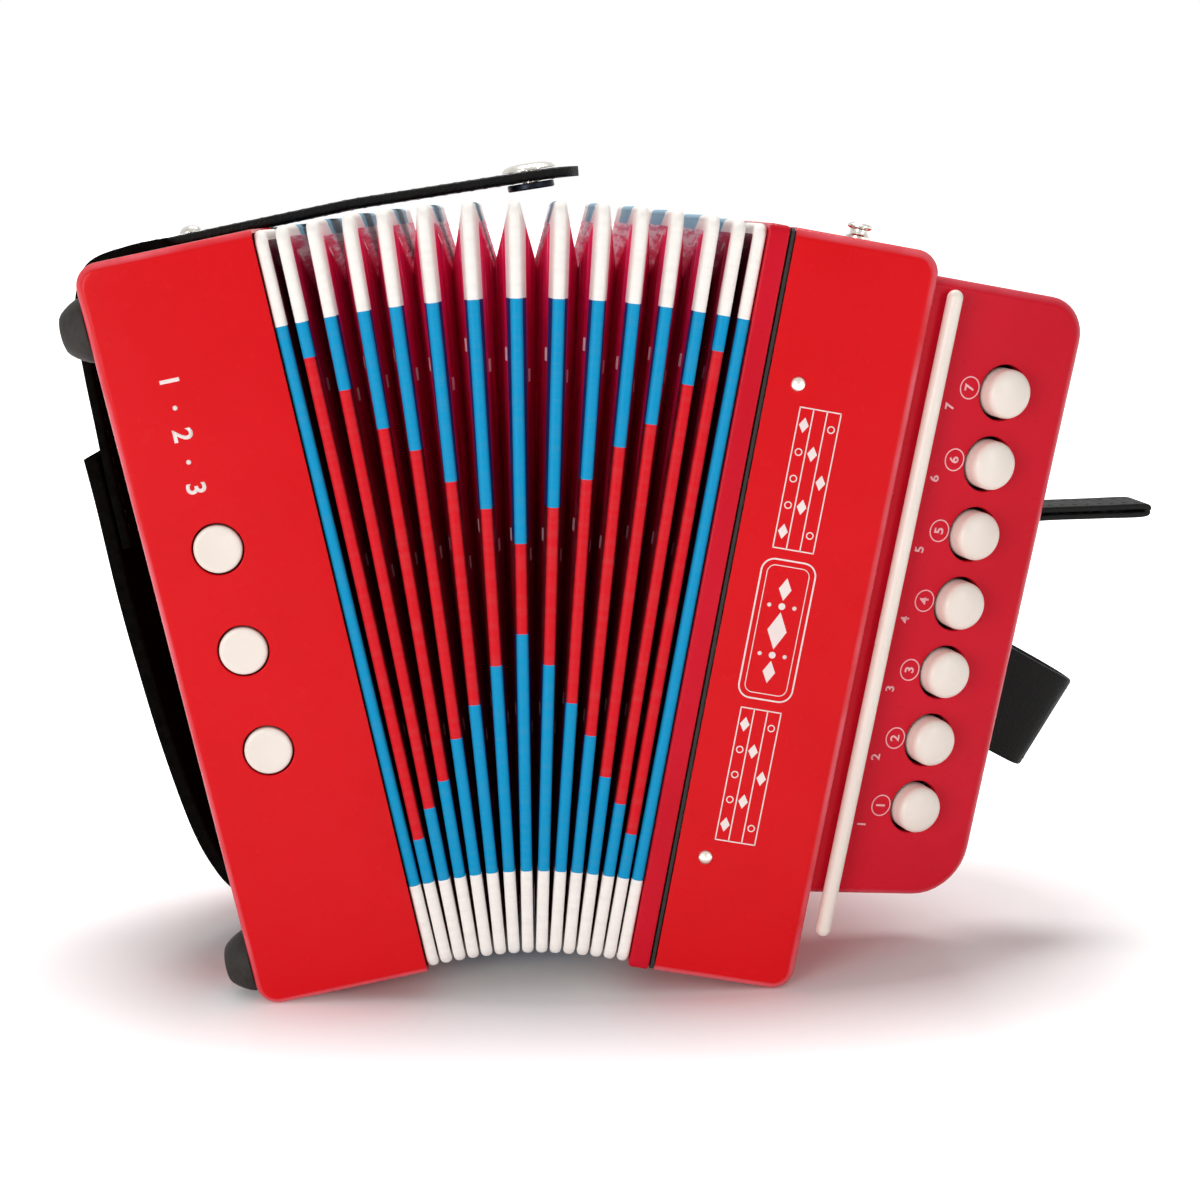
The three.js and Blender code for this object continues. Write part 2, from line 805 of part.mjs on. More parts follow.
// Fingerboard: a slanted shell, open towards the casing, with a hole for each button
function faceDepth(x, sunk) {
  return boardFront + (x - boardSide) * Math.tan(fingerboardAngle) + sunk / boardCos;
}

function wedge(wall, left) {
  const right = onBoard(fingerboardWidth, 0)[0] - wall;
  const backY = boardFront + fingerboardBack - wall;
  const cornerX = right - fingerboardTaper - fingerboardBackRounding;
  const shape = new THREE.Shape();
  shape.moveTo(left, faceDepth(left, wall));
  shape.lineTo(right, faceDepth(right, wall));
  shape.lineTo(cornerX + fingerboardBackRounding, backY - fingerboardBackRounding);
  shape.absarc(cornerX, backY - fingerboardBackRounding, fingerboardBackRounding, 0, Math.PI / 2);
  shape.lineTo(left, backY);
  return shape;
}

// Turns a piece that was laid out flat on the face, x across it and z up it, into place
function layOnBoard(geometry) {
  return geometry.rotateZ(fingerboardAngle).translate(boardSide, boardFront, 0);
}

// The wedge between its two ends, its right corners rounded as seen from the front
function roundedWedge(wall, left) {
  const low = fingerboardBottom + wall;
  const high = fingerboardTop - wall;
  const right = onBoard(fingerboardWidth, 0)[0] - wall;
  const radiusLow = fingerboardCornerBottom - wall;
  const radiusHigh = fingerboardCornerTop - wall;
  const outline = new THREE.Shape();
  outline.moveTo(left - cutOverrun, low);
  outline.lineTo(right - radiusLow, low);
  outline.absarc(right - radiusLow, low + radiusLow, radiusLow, -Math.PI / 2, 0);
  outline.absarc(right - radiusHigh, high - radiusHigh, radiusHigh, 0, Math.PI / 2);
  outline.lineTo(left - cutOverrun, high);
  const sides = raise(wedge(wall, left), low - cutOverrun, high + cutOverrun);
  return common(sides, runThrough(outline, front, back));
}

function fingerboard() {
  const body = roundedWedge(0, boardSide);
  const room = roundedWedge(fingerboardWall, boardSide - cutOverrun);
  const holes = keyHeights.map((z) => {
    const drill = rod(keyCap / 2 + keyHoleGap, -cutOverrun, fingerboardWall + cutOverrun, roundSteps);
    return layOnBoard(drill.translate(keyAcross, 0, z));
  });
  const axleHole = rod(axleSize / 2 + axleFit, fingerboardBottom + axleGrip, fingerboardTop - axleGrip);
  return cut(
    body,
    room,
    ...holes,
    axleHole.rotateX(Math.PI / 2).translate(axleX, axleY, 0),
  );
}
piece('fingerboard', fingerboard(), darkRedPlastic, treble);

const axleLow = fingerboardBottom + axleGrip + axleFit;
const axleHigh = fingerboardTop - axleGrip - axleFit;
const axle = rod(axleSize / 2, axleLow, axleHigh).rotateX(Math.PI / 2);
piece('lever_axle', axle, darkMetal, treble).position.set(axleX, axleY, 0);

// Trim rod in the corner between casing and fingerboard
function trimRod() {
  const radius = rodSize / 2;
  const ends = [0.5, 0.87];
  const low = ends.map((share) => [radius * share, rodBottom + radius * (1 - Math.sqrt(1 - share * share))]);
  const high = ends.map((share) => [radius * share, rodTop - radius * (1 - Math.sqrt(1 - share * share))]);
  return turned([
    [0, rodBottom],
    ...low,
    [radius, rodBottom + radius],
    [radius, rodTop - radius],
    ...high.reverse(),
    [0, rodTop],
  ], smallRoundSteps).rotateX(Math.PI / 2);
}
const [rodX, rodY] = onBoard(rodAcross, -rodSize / 2 - seatGap);
piece('trim_rod', trimRod(), whitePlastic, treble).position.set(rodX, rodY, 0);

// Pan across the casing under the pallets, with a block of reed chambers behind it
const palletBack = axleY + leverThickness / 2 + palletThickness;
const panFront = palletBack + seatGap;
const palletX = axleX - leverLeftArm + palletSize / 2;
function treblePan() {
  const panBack = panFront + treblePanThickness;
  const plate = block(
    seatGap,
    trebleWidth - casingWall - seatGap,
    panFront,
    panBack,
    casingWall + seatGap,
    casingHeight - casingWall - seatGap,
  );
  const half = keyPitch / 2;
  const reeds = block(
    seatGap + reedChamberWall,
    trebleWidth - casingWall - reedChamberWall,
    panFront + treblePanThickness / 2,
    panBack + reedBlockDepth,
    keyHeights[keyCount - 1] - half,
    keyHeights[0] + half,
  );
  const chambers = keyHeights.map((z) => block(
    seatGap + 2 * reedChamberWall,
    trebleWidth - casingWall - 2 * reedChamberWall,
    panBack,
    panBack + reedBlockDepth + cutOverrun,
    z - half + reedChamberWall / 2,
    z + half - reedChamberWall / 2,
  ));
  const holes = keyHeights.map((z) => {
    const drill = rod(treblePanHole / 2, panFront - cutOverrun, panBack + cutOverrun);
    return drill.translate(palletX, 0, z);
  });
  return cut(join(plate, reeds), ...chambers, ...holes);
}
piece('treble_reed_block', treblePan(), wood, treble);

// Melody buttons and their levers, each pair turning on the common axle
function keyButton() {
  const radius = keyCap / 2;
  const shoulder = -keyCapProud + keyCapDome;
  return layOnBoard(turned([
    [0, -keyCapProud],
    [radius * 0.45, -keyCapProud + keyCapDome * 0.12],
    [radius * 0.78, -keyCapProud + keyCapDome * 0.42],
    [radius, shoulder],
    [radius, keyCapSunk],
    [keyStem / 2, keyCapSunk],
    [keyStem / 2, axleSunk - leverThickness / 2 - seatGap],
    [0, axleSunk - leverThickness / 2 - seatGap],
  ]).translate(keyAcross, 0, 0));
}

function keyLever() {
  const half = leverThickness / 2;
  const side = leverWidth / 2;
  const rightArm = block(0, leverRightArm, -half, half, -side, side).rotateZ(fingerboardAngle);
  const leftArm = block(-leverLeftArm, 0, -half, half, -side, side);
  const pad = block(-leverLeftArm, palletSize - leverLeftArm, 0, palletBack - axleY, -palletSize / 2, palletSize / 2);
  const hub = rod(leverHub / 2, -side, side).rotateX(Math.PI / 2);
  const bore = rod(axleSize / 2 + axleFit, -palletSize, palletSize).rotateX(Math.PI / 2);
  return cut(join(rightArm, leftArm, pad, hub), bore);
}
keyHeights.forEach((z, i) => {
  piece(`treble_button_${i + 1}`, keyButton(), whitePlastic, treble).position.z = z;
  piece(`treble_lever_${i + 1}`, keyLever(), leverPlastic, treble).position.set(axleX, axleY, z);
});

// Comb of flat springs that hold the melody buttons up, standing on the fingerboard's back wall
function trebleSprings() {
  const [tipX, tipY] = onBoard(keyAcross - keyStem / 2, axleSunk + leverThickness / 2 + seatGap);
  const [endX] = onBoard(axleAcross + leverRightArm, axleSunk);
  const wallInside = boardFront + fingerboardBack - fingerboardWall - seatGap;
  const reach = endX - tipX;
  const low = keyHeights[keyCount - 1] - springMargin;
  const high = keyHeights[0] + springMargin;
  const riseX = reach + springFootThickness / 2;
  const upright = block(riseX, riseX + springThickness, reach * Math.tan(fingerboardAngle), wallInside - tipY, low, high);
  const footing = block(
    riseX - springFootWidth,
    riseX + springThickness,
    wallInside - tipY - springThickness,
    wallInside - tipY,
    low,
    high,
  );
  const fingers = keyHeights.map((z) => {
    const length = (riseX + springThickness) / boardCos;
    const half = springFingerWidth / 2;
    return block(0, length, 0, springThickness, z - half, z + half).rotateZ(fingerboardAngle);
  });
  return join(upright, footing, ...fingers).translate(tipX, tipY, 0);
}
piece('treble_spring_comb', trebleSprings(), darkMetal, treble);

// Thumb strap: one band folded into a flat loop, both ends laid on the fingerboard's back
const boardBackFace = boardFront + fingerboardBack;
const thumbStrapSteps = 26;
function thumbStrap() {
  const ply = leatherThickness + seatGap;
  const first = seatGap + leatherThickness / 2;
  const second = first + ply;
  const tip = thumbStrapReach - leatherThickness / 2;
  const open = thumbStrapGap + leatherThickness;
  const outline = bandOutline([
    [-thumbStrapTail, first],
    [0, first],
    [thumbStrapTail, first],
    [tip - open, first + ply * 0.1],
    [tip - open * 0.25, first + open * 0.14],
    [tip, first + open * 0.5],
    [tip - open * 0.25, first + open * 0.86],
    [tip - open, first + open],
    [thumbStrapTail * 1.6, first + open * 0.86],
    [0, second],
    [-thumbStrapTail, second],
  ], leatherThickness, thumbStrapSteps);
  return raise(outline, -thumbStrapWidth / 2, thumbStrapWidth / 2);
}
const thumbPlace = piece('thumb_strap', thumbStrap(), blackLeather, treble);
thumbPlace.position.set(thumbStrapAcross, boardBackFace, thumbStrapHeight);
thumbPlace.rotation.y = thumbStrapTilt;

// Hand loop: a doubled band standing out from the fingerboard's side wall on two flanges
const handLoopSteps = 34;
function handLoop() {
  const half = leatherThickness / 2;
  const out = seatGap + half;
  const ply = half + seatGap / 2;
  const rise = Math.tan(handLoopRise);
  const tip = handLoopReach - half;
  const open = handLoopGap / 2 + half;
  const up = (x, off) => [x, x * rise + off];
  const outline = bandOutline([
    [out, handLoopFlange],
    [out, handLoopFlange * 0.6],
    [out + half, ply + leatherThickness],
    up(out + 2 * leatherThickness, ply + half / 2),
    up(tip * 0.6, open * 0.9),
    up(tip - open, open),
    up(tip, 0),
    up(tip - open, -open),
    up(tip * 0.6, -open * 0.9),
    up(out + 2 * leatherThickness, -ply - half / 2),
    [out + half, -ply - leatherThickness],
    [out, -handLoopFlange * 0.6],
    [out, -handLoopFlange],
  ], leatherThickness, handLoopSteps);
  return runThrough(outline, -handLoopWidth / 2, handLoopWidth / 2);
}
function placeHandLoop() {
  const [rightX, rightY] = onBoard(fingerboardWidth, 0);
  const wallRun = boardBackFace - fingerboardBackRounding - rightY;
  const loop = piece('hand_loop', handLoop(), blackLeather, treble);
  loop.position.set(
    rightX - fingerboardTaper * handLoopBackShare,
    rightY + wallRun * handLoopBackShare,
    handLoopHeight,
  );
  loop.rotation.z = Math.atan2(fingerboardTaper, wallRun);
}
placeHandLoop();

// Stand the accordion on z = 0, centred over the origin
group.updateMatrixWorld(true);
const bounds = new THREE.Box3().setFromObject(group, true);
const centre = bounds.getCenter(new THREE.Vector3());
group.position.set(-centre.x, -centre.y, -bounds.min.z);
group.updateMatrixWorld(true);

export default group;
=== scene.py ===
import math

import bmesh
import bpy
from mathutils import Matrix, Vector


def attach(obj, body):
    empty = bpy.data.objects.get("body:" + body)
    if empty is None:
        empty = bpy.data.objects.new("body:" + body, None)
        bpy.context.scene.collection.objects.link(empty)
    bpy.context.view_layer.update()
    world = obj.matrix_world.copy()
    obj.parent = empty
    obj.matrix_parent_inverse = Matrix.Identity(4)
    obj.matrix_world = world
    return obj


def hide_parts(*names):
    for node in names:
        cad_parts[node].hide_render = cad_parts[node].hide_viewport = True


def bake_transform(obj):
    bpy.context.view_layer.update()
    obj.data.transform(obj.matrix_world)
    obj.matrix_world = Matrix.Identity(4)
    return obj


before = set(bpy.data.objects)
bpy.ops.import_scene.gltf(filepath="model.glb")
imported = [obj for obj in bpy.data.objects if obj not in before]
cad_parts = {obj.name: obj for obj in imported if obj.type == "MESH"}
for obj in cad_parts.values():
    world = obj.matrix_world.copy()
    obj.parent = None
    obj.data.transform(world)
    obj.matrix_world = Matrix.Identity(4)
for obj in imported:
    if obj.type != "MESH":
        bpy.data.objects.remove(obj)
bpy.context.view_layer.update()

MM = 0.001
DEPTH = 98
FRONT = -DEPTH / 2
HEIGHT = 180
BASS_WIDTH = 41.2
BASS_CORNER = (-91.6134, 0.75, -0.9542)
BASS_LEAN = math.radians(-10.8957)
TREBLE_WIDTH = 34
CASING_CORNER = 5.5
BASS_EDGE_ROUNDING = 2.2
TREBLE_EDGE_ROUNDING = 2.6
WALL = 1.7
GAP = 0.3
TOUCH = 0.01

FOLD_COUNT = 15
FOLD_PITCH = 3.25
FAN_ANGLE = math.radians(21.84)
FAN_SHARES = [0.024, 0.055, 0.072, 0.067, 0.086, 0.1, 0.108, 0.106, 0.096, 0.081, 0.069, 0.073, 0.04, 0.023]
FOLD_INSET = 0.6
FOLD_HALF = 1.35
FOLD_CORNER = 3.4
FLANK_INSET = 0.95
VALLEY_INSET = 15
NOSE = [(0.0, 0.0), (0.5, 0.06), (0.95, 0.28), (1.22, 0.62), (FOLD_HALF, 1.1)]
NOSE_PROUD = 0.04

TAPE_BLUE_ENDS = [0.436, 0.389, 0.351, 0.306, 0.273, 0.217, 0.169, 0.169]
TAPE_RED_ENDS = [0.555, 0.596, 0.646, 0.688, 0.742, 0.776, 0.815, 0.169]
TAPE_REACH = [2.4, 2.6, 3.8, 3.4, 3.8, 4.2, 4.6, 5.2, 5.2, 4.6, 4.2, 3.8, 3.6, 3.2, 2.6]
WHITE_END = 0.124
LOW_WHITE_START = 0.877
TOP_WHITE_RUN = 24
# Share of its own colour that each valley's paper keeps, by distance from the middle: painted shade that
# darkens the outer valleys.
VALLEY_LIGHT = {0.5: 1, 1.5: 1, 2.5: 1, 3.5: 0.95, 4.5: 0.85, 5.5: 0.65, 6.5: 0.2, 7.5: 0.1}
GLEAM_PITCH = 42
GLEAM_HALF_SHARE = 0.036
GLEAM_HALF_DEPTH = 1.0
# Where the gleams lie on a fold's right and left flank: offset up the flank and depth in from the edge
GLEAM_PLACES = {1: (6.5, 7.6), -1: (1.5, 6.6)}

FRAME_THICKNESS = 4.9
FRAME_BAND = 9
GASKET_THICKNESS = 0.8
GASKET_BAND = 7

BASS_BUTTON_HEIGHTS = [111.3, 86.8, 62.3]
BASS_BUTTON_INSET = 17
BASS_BUTTON = 11.2
BASS_HOLE_CLEARANCE = 0.45
CASING_COLLAR_DEPTH = WALL + 0.7
BASS_BOARD_DEPTH = 13
BASS_BOARD_THICKNESS = 2.5
BASS_BOARD_BACK = FRONT + BASS_BOARD_DEPTH + BASS_BOARD_THICKNESS
BASS_PALLET = 9.6
BASS_PALLET_THICKNESS = 1.8
PIN_HEIGHTS = {"frame_pin_high": 145.44, "frame_pin_low": 30.78}
PIN_INSET = 6.9

KEY_COUNT = 7
KEY_PITCH = 17.23
KEY_MIDDLE = 99.2
KEY_ACROSS = 25
KEY_CAP = 11.7
KEY_HOLE_CLEARANCE = 0.85
KEY_COLLAR_DEPTH = 3.2
KEY_HEIGHTS = [KEY_MIDDLE + KEY_PITCH * (3 - i) for i in range(KEY_COUNT)]
LEVER_THICKNESS = 2.2
LEVER_ARM = 25.2
AXLE_ACROSS = 4.8
AXLE_SUNK = 6.5
BOARD_ANGLE = math.radians(21.8)
BOARD_COS = math.cos(BOARD_ANGLE)
BOARD_SIN = math.sin(BOARD_ANGLE)
BOARD_SIDE = TREBLE_WIDTH + GAP
BOARD_FRONT = FRONT + 4.7
BOARD_BACK = BOARD_FRONT + 40.3
BOARD_WIDTH = 44.4
BOARD_RIGHT = BOARD_SIDE + BOARD_WIDTH * BOARD_COS
BOARD_BOTTOM = 24
BOARD_TOP = 175
BOARD_TAPER = 4
BOARD_CORNER_TOP = 9.5
BOARD_CORNER_BOTTOM = 13
BOARD_EDGE_ROUNDING = 2.4
BOARD_BACK_ROUNDING = 4
BOARD_WALL = 2.4
ROD = 3.7
ROD_ACROSS = 4.6
ROD_ENDS = (14.3, 172.6)

# Flat return springs: the strip and foot stay on the body, and each finger is a separate flat piece at its
# button
SPRING = 0.5
SPRING_FINGER = 4
SPRING_FOOT = 6
SPRING_FOOT_THICKNESS = 2.6
SPRING_MARGIN = 4
# How far the tip of a finger reaches past the middle of its button
BASS_TIP_PAST = 4
TREBLE_TIP_PAST = 3

LEATHER = 2.5
STRAP_PLY = LEATHER - 0.1
STRAP_WIDTH = 22
STRAP_HINGE = 61.3
STRAP_BEND = STRAP_HINGE + GAP
STRAP_FREE = 55.6
STRAP_DROOP = math.radians(3)
STRAP_TIP_DROOP = math.radians(5.5)
STRAP_TIP = 22
RIVET_INSET = 20.4
RIVET_HEAD = 5.4
STRAP_END = RIVET_INSET - RIVET_HEAD / 2 - LEATHER - GAP
SNAP_INSET = 104.7
STUD_INSET = 22.1
HAND_STRAP_WIDTH = 30
HAND_STRAP_PAD = 1.2
HAND_STANDOFF = 15.3
HAND_SCREW_HEIGHT = 8.6
THUMB_STRAP_WIDTH = 26.5
THUMB_STRAP_PLACE = (67.8, BOARD_BACK, 76.2)
THUMB_STRAP_TILT = math.radians(19.5)
HAND_LOOP_HEIGHT = 121.4
HAND_LOOP_WIDTH = 11
HAND_LOOP_PLY = 1.5
HAND_LOOP_REACH = 33.85
HAND_LOOP_GAP = 0.5
HAND_LOOP_FLANGE = 5
HAND_LOOP_RISE = math.radians(9.8)
HAND_LOOP_BACK = 0.74
STITCH_PITCH = 3.4
STITCH_INSET = 2.5
STITCH_START = 2.5
STITCH_MARGIN = 3

FOOT_OUT = 40
FOOT_HEIGHTS = {"high": 165.6, "low": 9.8}

PRINT_PROUD = 0.07
PRINT_FILM = 0.05

SHADOW_FADE = (52, 112)
SHADOW_OVAL = (0.45, 1.0, 1.0)
PHOTO_PIXELS = 1200
FOCAL_PIXELS = 1978.90
SENSOR = 36
CAMERA_PLACE = (-25.055, -499.25, 187.746)
CAMERA_YAW, CAMERA_PITCH, CAMERA_ROLL = 0.037053, 0.196929, -0.0150215


# Places of the casings and folds
def turn_y(angle):
    return Matrix.Rotation(angle, 4, "Y")


def turn_z(angle):
    return Matrix.Rotation(angle, 4, "Z")


def shift(x=0.0, y=0.0, z=0.0):
    return Matrix.Translation((x, y, z))


BASS = shift(*BASS_CORNER) @ turn_y(BASS_LEAN)
FOLDS = [BASS @ shift(BASS_WIDTH)]
for share in FAN_SHARES:
    FOLDS.append(FOLDS[-1] @ shift(FOLD_PITCH) @ turn_y(FAN_ANGLE * share))
TREBLE = FOLDS[-1] @ shift(FOLD_PITCH + FRAME_THICKNESS + GASKET_THICKNESS + 2 * GAP)
BOARD = TREBLE @ shift(BOARD_SIDE, BOARD_FRONT, 0) @ turn_z(BOARD_ANGLE)
TO_METRES = Matrix.Scale(MM, 4)


def fold_body(k):
    """The body that carries fold k, counted from 1 at the bass end."""
    if k == 1:
        return "bass_end"
    return "treble_end" if k == FOLD_COUNT else f"fold_{k:02d}"


# Shader nodes
def linear(hexes):
    """Linear colour of an sRGB hex string."""
    parts = [int(hexes[i : i + 2], 16) / 255 for i in (0, 2, 4)]
    return [c / 12.92 if c <= 0.04045 else ((c + 0.055) / 1.055) ** 2.4 for c in parts] + [1.0]


def add(tree, kind, inputs=None, output=0, **settings):
    """Adds a node, sets it up, links or sets its inputs, and gives one of its outputs."""
    node = tree.nodes.new("ShaderNode" + kind)
    for key, value in settings.items():
        setattr(node, key, value)
    for key, value in (inputs or {}).items():
        if isinstance(value, Value):
            tree.links.new(value.socket, node.inputs[key])
        else:
            node.inputs[key].default_value = value
    return Value(tree, node.outputs[output])


class Value:
    """A node's output. Sums of values add math nodes, a comparison gives 0 or 1, and | takes the larger."""

    def __init__(self, tree, socket):
        self.tree, self.socket = tree, socket

    def math(self, operation, *others):
        return add(self.tree, "Math", dict(enumerate((self, *others))), operation=operation)

    __add__ = lambda self, other: self.math("ADD", other)
    __sub__ = lambda self, other: self.math("SUBTRACT", other)
    __rsub__ = lambda self, other: add(self.tree, "Math", {0: other, 1: self}, operation="SUBTRACT")
    __mul__ = lambda self, other: self.math("MULTIPLY", other)
    __truediv__ = lambda self, other: self.math("DIVIDE", other)
    __lt__ = lambda self, other: self.math("LESS_THAN", other)
    __gt__ = lambda self, other: self.math("GREATER_THAN", other)
    __or__ = lambda self, other: self.math("MAXIMUM", other)
    __abs__ = lambda self: self.math("ABSOLUTE")

    def axis(self, index):
        return add(self.tree, "SeparateXYZ", {0: self}, index)

    def spread(self, low, high, to_low=0.0, to_high=1.0, clamp=True):
        """Maps the range low to high onto to_low to to_high."""
        return add(self.tree, "MapRange", {0: self, 1: low, 2: high, 3: to_low, 4: to_high}, clamp=clamp)

    def mix(self, a, b):
        """Colour a where the value is 0 and b where it is 1, each a hex string or a value."""
        a, b = (linear(colour) if isinstance(colour, str) else colour for colour in (a, b))
        return add(self.tree, "Mix", {0: self, 6: a, 7: b}, 2, data_type="RGBA")

    def ramp(self, *stops):
        """Colours blended between stops of (position, hex string)."""
        node = self.tree.nodes.new("ShaderNodeValToRGB")
        self.tree.links.new(self.socket, node.inputs[0])
        elements = node.color_ramp.elements
        while len(elements) < len(stops):
            elements.new(0.5)
        for element, (position, colour) in zip(elements, stops):
            element.position = position
            element.color = linear(colour)
        return Value(self.tree, node.outputs[0])


class Look:
    """A material with one shader. Patterns lie in the object's millimetres, or in those that stored names."""

    def __init__(self, name, stored=None, **sockets):
        self.material = bpy.data.materials.new(name)
        self.material.use_nodes = True
        self.tree = self.material.node_tree
        self.shader = self.tree.nodes["Principled BSDF"]
        for key, value in sockets.items():
            self.shader.inputs[key.replace("_", " ")].default_value = value
        if stored:
            self.place = self.attribute(stored, "Vector")
        else:
            metres = add(self.tree, "TexCoord", output="Object")
            self.place = add(self.tree, "VectorMath", {0: metres, 3: 1 / MM}, operation="SCALE")

    def attribute(self, name, output="Fac"):
        return add(self.tree, "Attribute", output=output, attribute_name=name)

    def noise(self, per_mm, detail=3.0, roughness=0.55, stretch=None):
        place = add(self.tree, "Mapping", {0: self.place, 3: stretch}) if stretch else self.place
        inputs = {"Vector": place, "Scale": per_mm, "Detail": detail, "Roughness": roughness}
        return add(self.tree, "TexNoise", inputs)

    def feed(self, **values):
        """Links values to the shader's inputs."""
        for key, value in values.items():
            self.tree.links.new(value.socket, self.shader.inputs[key.replace("_", " ")])

    def bump(self, height, distance_mm, strength):
        inputs = {"Strength": strength, "Distance": distance_mm * MM, "Height": height}
        self.feed(Normal=add(self.tree, "Bump", inputs))


# Materials
def moulded_plastic(name, colour, deep, roughness, coat=0.0, grain=0.35, specular=0.08, worn_and_highlight=None):
    """Injection-moulded plastic: faint flow mottling, a fine orange peel and small differences of gloss.

    An optional paler colour goes along rounded edges, where the edge attribute is stored: partly wear from
    handling, partly a painted highlight where those edges would catch the light."""
    look = Look(name, Coat_Weight=coat, Coat_Roughness=0.12, Specular_IOR_Level=specular)
    tint = look.noise(0.035, 2.0).spread(0.35, 0.7).mix(colour, deep)
    if worn_and_highlight:
        rubbed_and_highlit = look.noise(0.05).spread(0.3, 0.6, 0.12, 0.5)
        # Paler colour in patches along rounded edges: partly wear, partly a painted highlight.
        tint = (look.attribute("edge_wear_and_highlight").spread(0.45, 1.0) * rubbed_and_highlit).mix(tint, worn_and_highlight)
    gloss = look.noise(0.22, 4.0).spread(0.3, 0.75, roughness - 0.05, roughness + 0.09)
    look.feed(Base_Color=tint, Roughness=gloss)
    look.bump(look.noise(grain, 2.0, 0.4), 0.03, 0.3)
    return look.material


def rubber():
    """Moulded black rubber: matt, a little grey with handling dust."""
    look = Look("black_rubber", Specular_IOR_Level=0.25)
    dust = look.noise(0.6, 5.0)
    gloss = dust.spread(0.3, 0.7, 0.55, 0.8)
    look.feed(Base_Color=dust.spread(0.4, 0.75).mix("262422", "3C3834"), Roughness=gloss)
    look.bump(look.noise(3.0, 4.0), 0.08, 0.5)
    return look.material


def metal(name, colour, roughness, tarnish="A9A49C"):
    """Bright metal with hairline marks and slightly uneven polish."""
    look = Look(name, Metallic=1.0)
    cloud = look.noise(0.5)
    gloss = cloud.spread(0.3, 0.7, roughness - 0.06, roughness + 0.1)
    look.feed(Base_Color=cloud.spread(0.35, 0.7, 0.0, 0.5).mix(colour, tarnish), Roughness=gloss)
    look.bump(look.noise(6.0), 0.01, 0.4)
    return look.material


def wood():
    """Plain pale wood with grain along the height."""
    look = Look("reed_wood", Roughness=0.6)
    grain = look.noise(1.0, 5.0, 0.65, stretch=(1.6, 1.6, 0.12))
    look.feed(Base_Color=grain.ramp((0.3, "8C6236"), (0.5, "B98D5A"), (0.72, "D2AC7A")))
    look.bump(grain, 0.1, 0.4)
    return look.material


def leather(name, dark, light, specular):
    """Black strap leather: pebbled grain and creases across the strap that catch a little light."""
    look = Look(name, "place_mm", Specular_IOR_Level=specular)
    cells = add(look.tree, "TexVoronoi", {"Vector": look.place, "Scale": 1.5, "Randomness": 0.9}, "Distance")
    crease = look.noise(1.0, 4.0, stretch=(0.8, 0.12, 1.0))
    shade = look.noise(0.5, 4.0) * 0.6 + crease * 0.4
    gloss = shade.spread(0.3, 0.7, 0.42, 0.62)
    look.feed(Base_Color=shade.spread(0.35, 0.65).mix(dark, light), Roughness=gloss)
    look.bump(cells + crease * 1.2, 0.16, 0.7)
    return look.material


def waxed_thread():
    """Black waxed stitching thread, twisted: fine slanting ply marks along each stitch."""
    look = Look("black_waxed_thread", Specular_IOR_Level=0.15)
    ply = look.noise(4.0, 2.0)
    look.feed(Base_Color=ply.mix("0B0B0B", "191816"), Roughness=ply.spread(0.3, 0.7, 0.5, 0.7))
    look.bump(ply, 0.05, 0.6)
    return look.material


